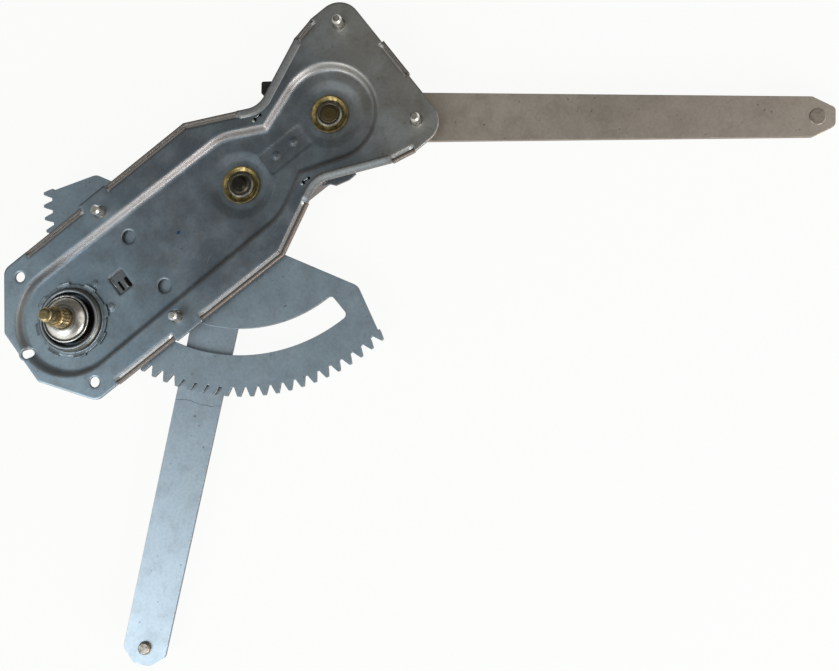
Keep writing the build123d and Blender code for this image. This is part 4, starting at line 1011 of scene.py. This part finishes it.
@dataclass
class CrankBrake:
    """The crank with its brake: a tabbed drum whose rolled mouth leaves a gap round the
    collar, painted dark inside as shade, the collar itself, the spindle and the spring and core
    inside."""

    drum_form: TurnedForm = field(default_factory=lambda: TurnedForm("drum_with_rolled_mouth", (
        (17.1, -4.98, 0), (17.1, -1.6, 0), (16.5, -0.6, 0), (16.3, 0.0, 0), (16.6, 0.6, 0),
        (17.2, 1.0, 0), (17.8, 1.1, 0), (18.3, 0.95, 0), (18.5, 0.5, 0), (18.7, 0.05, 0),
        (19.1, -0.25, 0), (19.5, -0.7, 0), (19.75, -1.4, 0), (19.85, -2.6, 0), (19.95, -3.4, 0),
        (20.2, -3.72, 0), (20.7, -3.8, 0), (21.6, -3.8, 0.3), (22.15, -3.8, 1), (22.4, -3.95, 1),
        (22.45, -4.4, 1), (22.4, -4.98, 1)), tabs=8))
    collar_form: TurnedForm = field(default_factory=lambda: TurnedForm("stepped_crank_collar", (
        (6.35, 3.2, 0), (6.35, 8.2, 0), (6.55, 8.5, 0), (7.0, 8.6, 0), (7.6, 8.5, 0),
        (8.3, 8.2, 0), (9.4, 7.7, 0), (10.6, 7.05, 0), (11.7, 6.25, 0), (12.6, 5.4, 0),
        (13.0, 4.85, 0), (13.15, 4.5, 0), (13.4, 4.45, 0), (13.6, 4.7, 0), (13.9, 4.8, 0),
        (14.25, 4.7, 0), (14.5, 4.35, 0), (14.6, 3.7, 0), (14.6, 1.5, 0), (14.6, -0.6, 0),
        (13.4, -0.6, 0), (13.4, 2.4, 0))))
    # drawn steel with grey rings; dark inside the mouth and on the upright walls as painted shade,
    # a painted highlight on the rolled lip, and darker on the lip's outer slope
    drum: TurnedMetal = TurnedMetal(
        "drawn_drum_steel", "#a9b5bc", "#8b969d", CRANK,
        ((16.3, "#3c3b38"), (18.4, "#b4bbbe"), (19.9, "#7d7c76")), 0.36, wall_shade="#4b4c4a")
    # polished steel: almost white, with painted shade in its groove and on its upright walls, down
    # its bore and round its side
    collar: TurnedMetal = TurnedMetal(
        "polished_collar_steel", "#dcdbd7", "#b5b3ae", CRANK,
        ((8.6, "#a9a7a2"), (12.6, "#dad5cd"), (13.5, "#5d5a55")), 0.2, wall_shade="#2d2d2b")
    # yellow chromate over cut steel: gold, browner in the roots
    spindle: TurnedMetal = TurnedMetal("yellow_zinc_spindle", "#b8a478", "#86765a", CRANK,
                                       roughness=0.28)
    # oil-tempered wire: almost black
    spring: TurnedMetal = TurnedMetal("oil_tempered_wire", "#4a4c50", "#333539", CRANK)

    def build(self) -> None:
        """Make the drum and the collar and dress every piece of the crank brake."""
        drum = self.drum_form.make(self.drum.material(), "frame", "drum_zinc")
        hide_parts("drum_housing")
        collar = self.collar_form.make(self.collar.material(), "crank", "collar_zinc")
        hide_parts("crank_collar")
        dress("crank_spindle", self.spindle.material())
        spring = self.spring.material()
        for node in ("brake_spring", "brake_core"):
            dress(node, spring)


@dataclass(frozen=True)
class Lamp:
    """A round area lamp: its offset from the point that it is aimed at, its size and its watts."""

    name: str
    offset: Place
    size: float
    power: float


@dataclass
class Studio:
    """Pale floor, soft lamps, a ceiling that greys overhead, and the camera."""

    camera_place: Place = (0.1985, -0.2276, 0.6084)
    camera_right: Place = (0.786516, -0.603725, -0.130036)
    camera_up: Place = (0.615055, 0.784736, 0.076796)
    lens: float = 45.23
    floor_gap: float = 0.0002
    floor_reach: float = 6.0
    floor_glow: float = 0.93
    horizon: str = "#f7f9f6"
    far_horizon: str = "#5c5955"
    horizon_turn: Point = (-0.7477, 0.3988)
    bright_way: Place = (-0.35, -0.94, 0.0)
    bright_rise: float = 0.2
    zenith: str = "#6a6964"
    zenith_rise: Point = (0.1, 0.55)
    window: str = "#a8b4bc"
    window_way: Place = (-0.75, -0.1, 0.65)
    window_edge: Point = (0.55, 0.95)
    aim: Place = (0.16, -0.04, -0.01)
    lamps: tuple[Lamp, ...] = (
        Lamp("key_lamp", (-0.95, -0.25, 0.95), 0.8, 5.0),
        Lamp("fill_lamp", (0.9, -0.5, 0.9), 1.2, 3.0),
        Lamp("low_lamp", (0.1, -1.25, 0.25), 0.8, 12.0),
    )

    def build(self) -> None:
        """Set up the whole studio."""
        self.place_camera()
        self.hang_lamps()
        self.light_world()
        self.lay_floor()
        bpy.context.scene.view_settings.view_transform = "Standard"

    def place_camera(self) -> None:
        """Stand the camera where it looks down on the mounting face."""
        right, up = Vector(self.camera_right), Vector(self.camera_up)
        back = right.cross(up).normalized()
        turn = Matrix((right, up, back)).transposed().to_4x4()
        lens = bpy.data.cameras.new("camera")
        lens.sensor_width, lens.lens = 36.0, self.lens
        lens.clip_start, lens.clip_end = 0.01, 20.0
        camera = bpy.data.objects.new("camera", lens)
        camera.matrix_world = Matrix.Translation(self.camera_place) @ turn
        bpy.context.scene.collection.objects.link(camera)
        bpy.context.scene.camera = camera

    def hang_lamps(self) -> None:
        """Hang the area lamps, each aimed at the middle of the object."""
        for lamp in self.lamps:
            light = bpy.data.lights.new(lamp.name, "AREA")
            light.shape, light.size, light.energy = "DISK", lamp.size, lamp.power
            offset = Vector(lamp.offset)
            hung = bpy.data.objects.new(lamp.name, light)
            hung.location = Vector(self.aim) + offset
            hung.rotation_euler = (-offset).to_track_quat("-Z", "Y").to_euler()
            bpy.context.scene.collection.objects.link(hung)
            LOG.info("hung %s", lamp.name)

    def light_world(self) -> None:
        """Light the world: white low down on the bright side, dim behind it and overhead.

        The horizon's colour turns from far_horizon to horizon with the direction's part along
        bright_way. The sky fades from it to the zenith's with height, and the bright side reaches
        higher. A soft window adds its own colour where the direction lies near window_way. The
        camera alone sees plain white.
        """
        world = bpy.data.worlds.new("studio_world")
        world.use_nodes = True
        tree = world.node_tree
        tree.nodes.clear()
        direction = add_node(tree, "ShaderNodeTexCoord").outputs["Generated"]
        height = add_node(tree, "ShaderNodeSeparateXYZ", {0: direction}).outputs[2]
        facing = self.facing(tree, direction, self.bright_way, self.horizon_turn)
        reach = add_node(tree, "ShaderNodeMath", {0: facing, 1: -self.bright_rise, 2: height},
                         operation="MULTIPLY_ADD")
        overhead = add_node(tree, "ShaderNodeMapRange", {
            "Value": reach, "From Min": self.zenith_rise[0], "From Max": self.zenith_rise[1]},
            **SMOOTH)
        window = self.facing(tree, direction, self.window_way, self.window_edge)
        seen = add_node(tree, "ShaderNodeLightPath").outputs["Is Camera Ray"]
        sky: Any = linear(self.far_horizon)
        for share, colour, blend in (
                (facing, self.horizon, "MIX"), (overhead, self.zenith, "MIX"),
                (window, self.window, "ADD"), (seen, "#ffffff", "MIX")):
            sky = add_node(tree, "ShaderNodeMix", {0: share, 6: sky, 7: linear(colour)},
                           data_type="RGBA", blend_type=blend)
        background = add_node(tree, "ShaderNodeBackground", {"Color": sky, "Strength": 1.0})
        add_node(tree, "ShaderNodeOutputWorld", {"Surface": background})
        bpy.context.scene.world = world

    @staticmethod
    def facing(tree: bpy.types.NodeTree, direction: Feed, way: Place, limits: Point) -> Feed:
        """How nearly a direction points one way.

        Args:
            tree: The world's tree.
            direction: Direction looked in.
            way: The way, whose length is made one.
            limits: Cosines of the angle to it that count as 0 and as 1.

        Returns:
            The share, which changes smoothly.
        """
        part = add_node(tree, "ShaderNodeVectorMath", {
            0: direction, 1: Vector(way).normalized()}, operation="DOT_PRODUCT")
        return add_node(tree, "ShaderNodeMapRange", {
            "Value": part, "From Min": limits[0], "From Max": limits[1]}, **SMOOTH)

    def lay_floor(self) -> None:
        """Lay the pale floor just under the rollers' studs, bright to the camera and to gloss.

        From underneath it is clear, so that the object's back can be looked at.
        """
        level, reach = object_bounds()[0][2] - self.floor_gap, self.floor_reach
        mesh = bpy.data.meshes.new("floor")
        mesh.from_pydata([(-reach, -reach, level), (reach, -reach, level), (reach, reach, level),
                          (-reach, reach, level)], [], [(0, 1, 2, 3)])
        floor = bpy.data.objects.new("floor", mesh)
        bpy.context.scene.collection.objects.link(floor)
        material = bpy.data.materials.new("pale_floor")
        material.use_nodes = True
        tree = material.node_tree
        tree.nodes.clear()
        rays = add_node(tree, "ShaderNodeLightPath").outputs
        seen: Feed = rays["Is Camera Ray"]
        for kind in ("Is Glossy Ray", "Is Transmission Ray"):
            seen = add_node(tree, "ShaderNodeMath", {0: seen, 1: rays[kind]}, operation="MAXIMUM")
        glowing = add_node(tree, "ShaderNodeMath", {0: seen, 1: self.floor_glow},
                           operation="MULTIPLY")
        matt = add_node(tree, "ShaderNodeBsdfDiffuse", {"Color": (0.9, 0.91, 0.9, 1.0)})
        glow = add_node(tree, "ShaderNodeEmission", {
            "Color": (0.99, 1.0, 0.985, 1.0), "Strength": 1.0})
        top = add_node(tree, "ShaderNodeMixShader", {0: glowing, 1: matt, 2: glow})
        back = add_node(tree, "ShaderNodeNewGeometry").outputs["Backfacing"]
        under = add_node(tree, "ShaderNodeMath", {0: rays["Is Camera Ray"], 1: back},
                         operation="MULTIPLY")
        clear = add_node(tree, "ShaderNodeBsdfTransparent")
        surface = add_node(tree, "ShaderNodeMixShader", {0: under, 1: top, 2: clear})
        add_node(tree, "ShaderNodeOutputMaterial", {"Surface": surface})
        mesh.materials.append(material)
        floor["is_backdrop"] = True


def main() -> None:
    """Dress every sub-assembly and set up the studio."""
    logging.basicConfig(level=logging.INFO, format="%(name)s: %(message)s")
    for assembly in (PlateAssembly(), TurnedEdges(), PlateMarks(), Pivots(), LiftGear(),
                     CrankBrake()):
        assembly.build()
        LOG.info("built %s", type(assembly).__name__)
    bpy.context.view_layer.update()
    Studio().build()


if __name__ == "__main__":
    main()
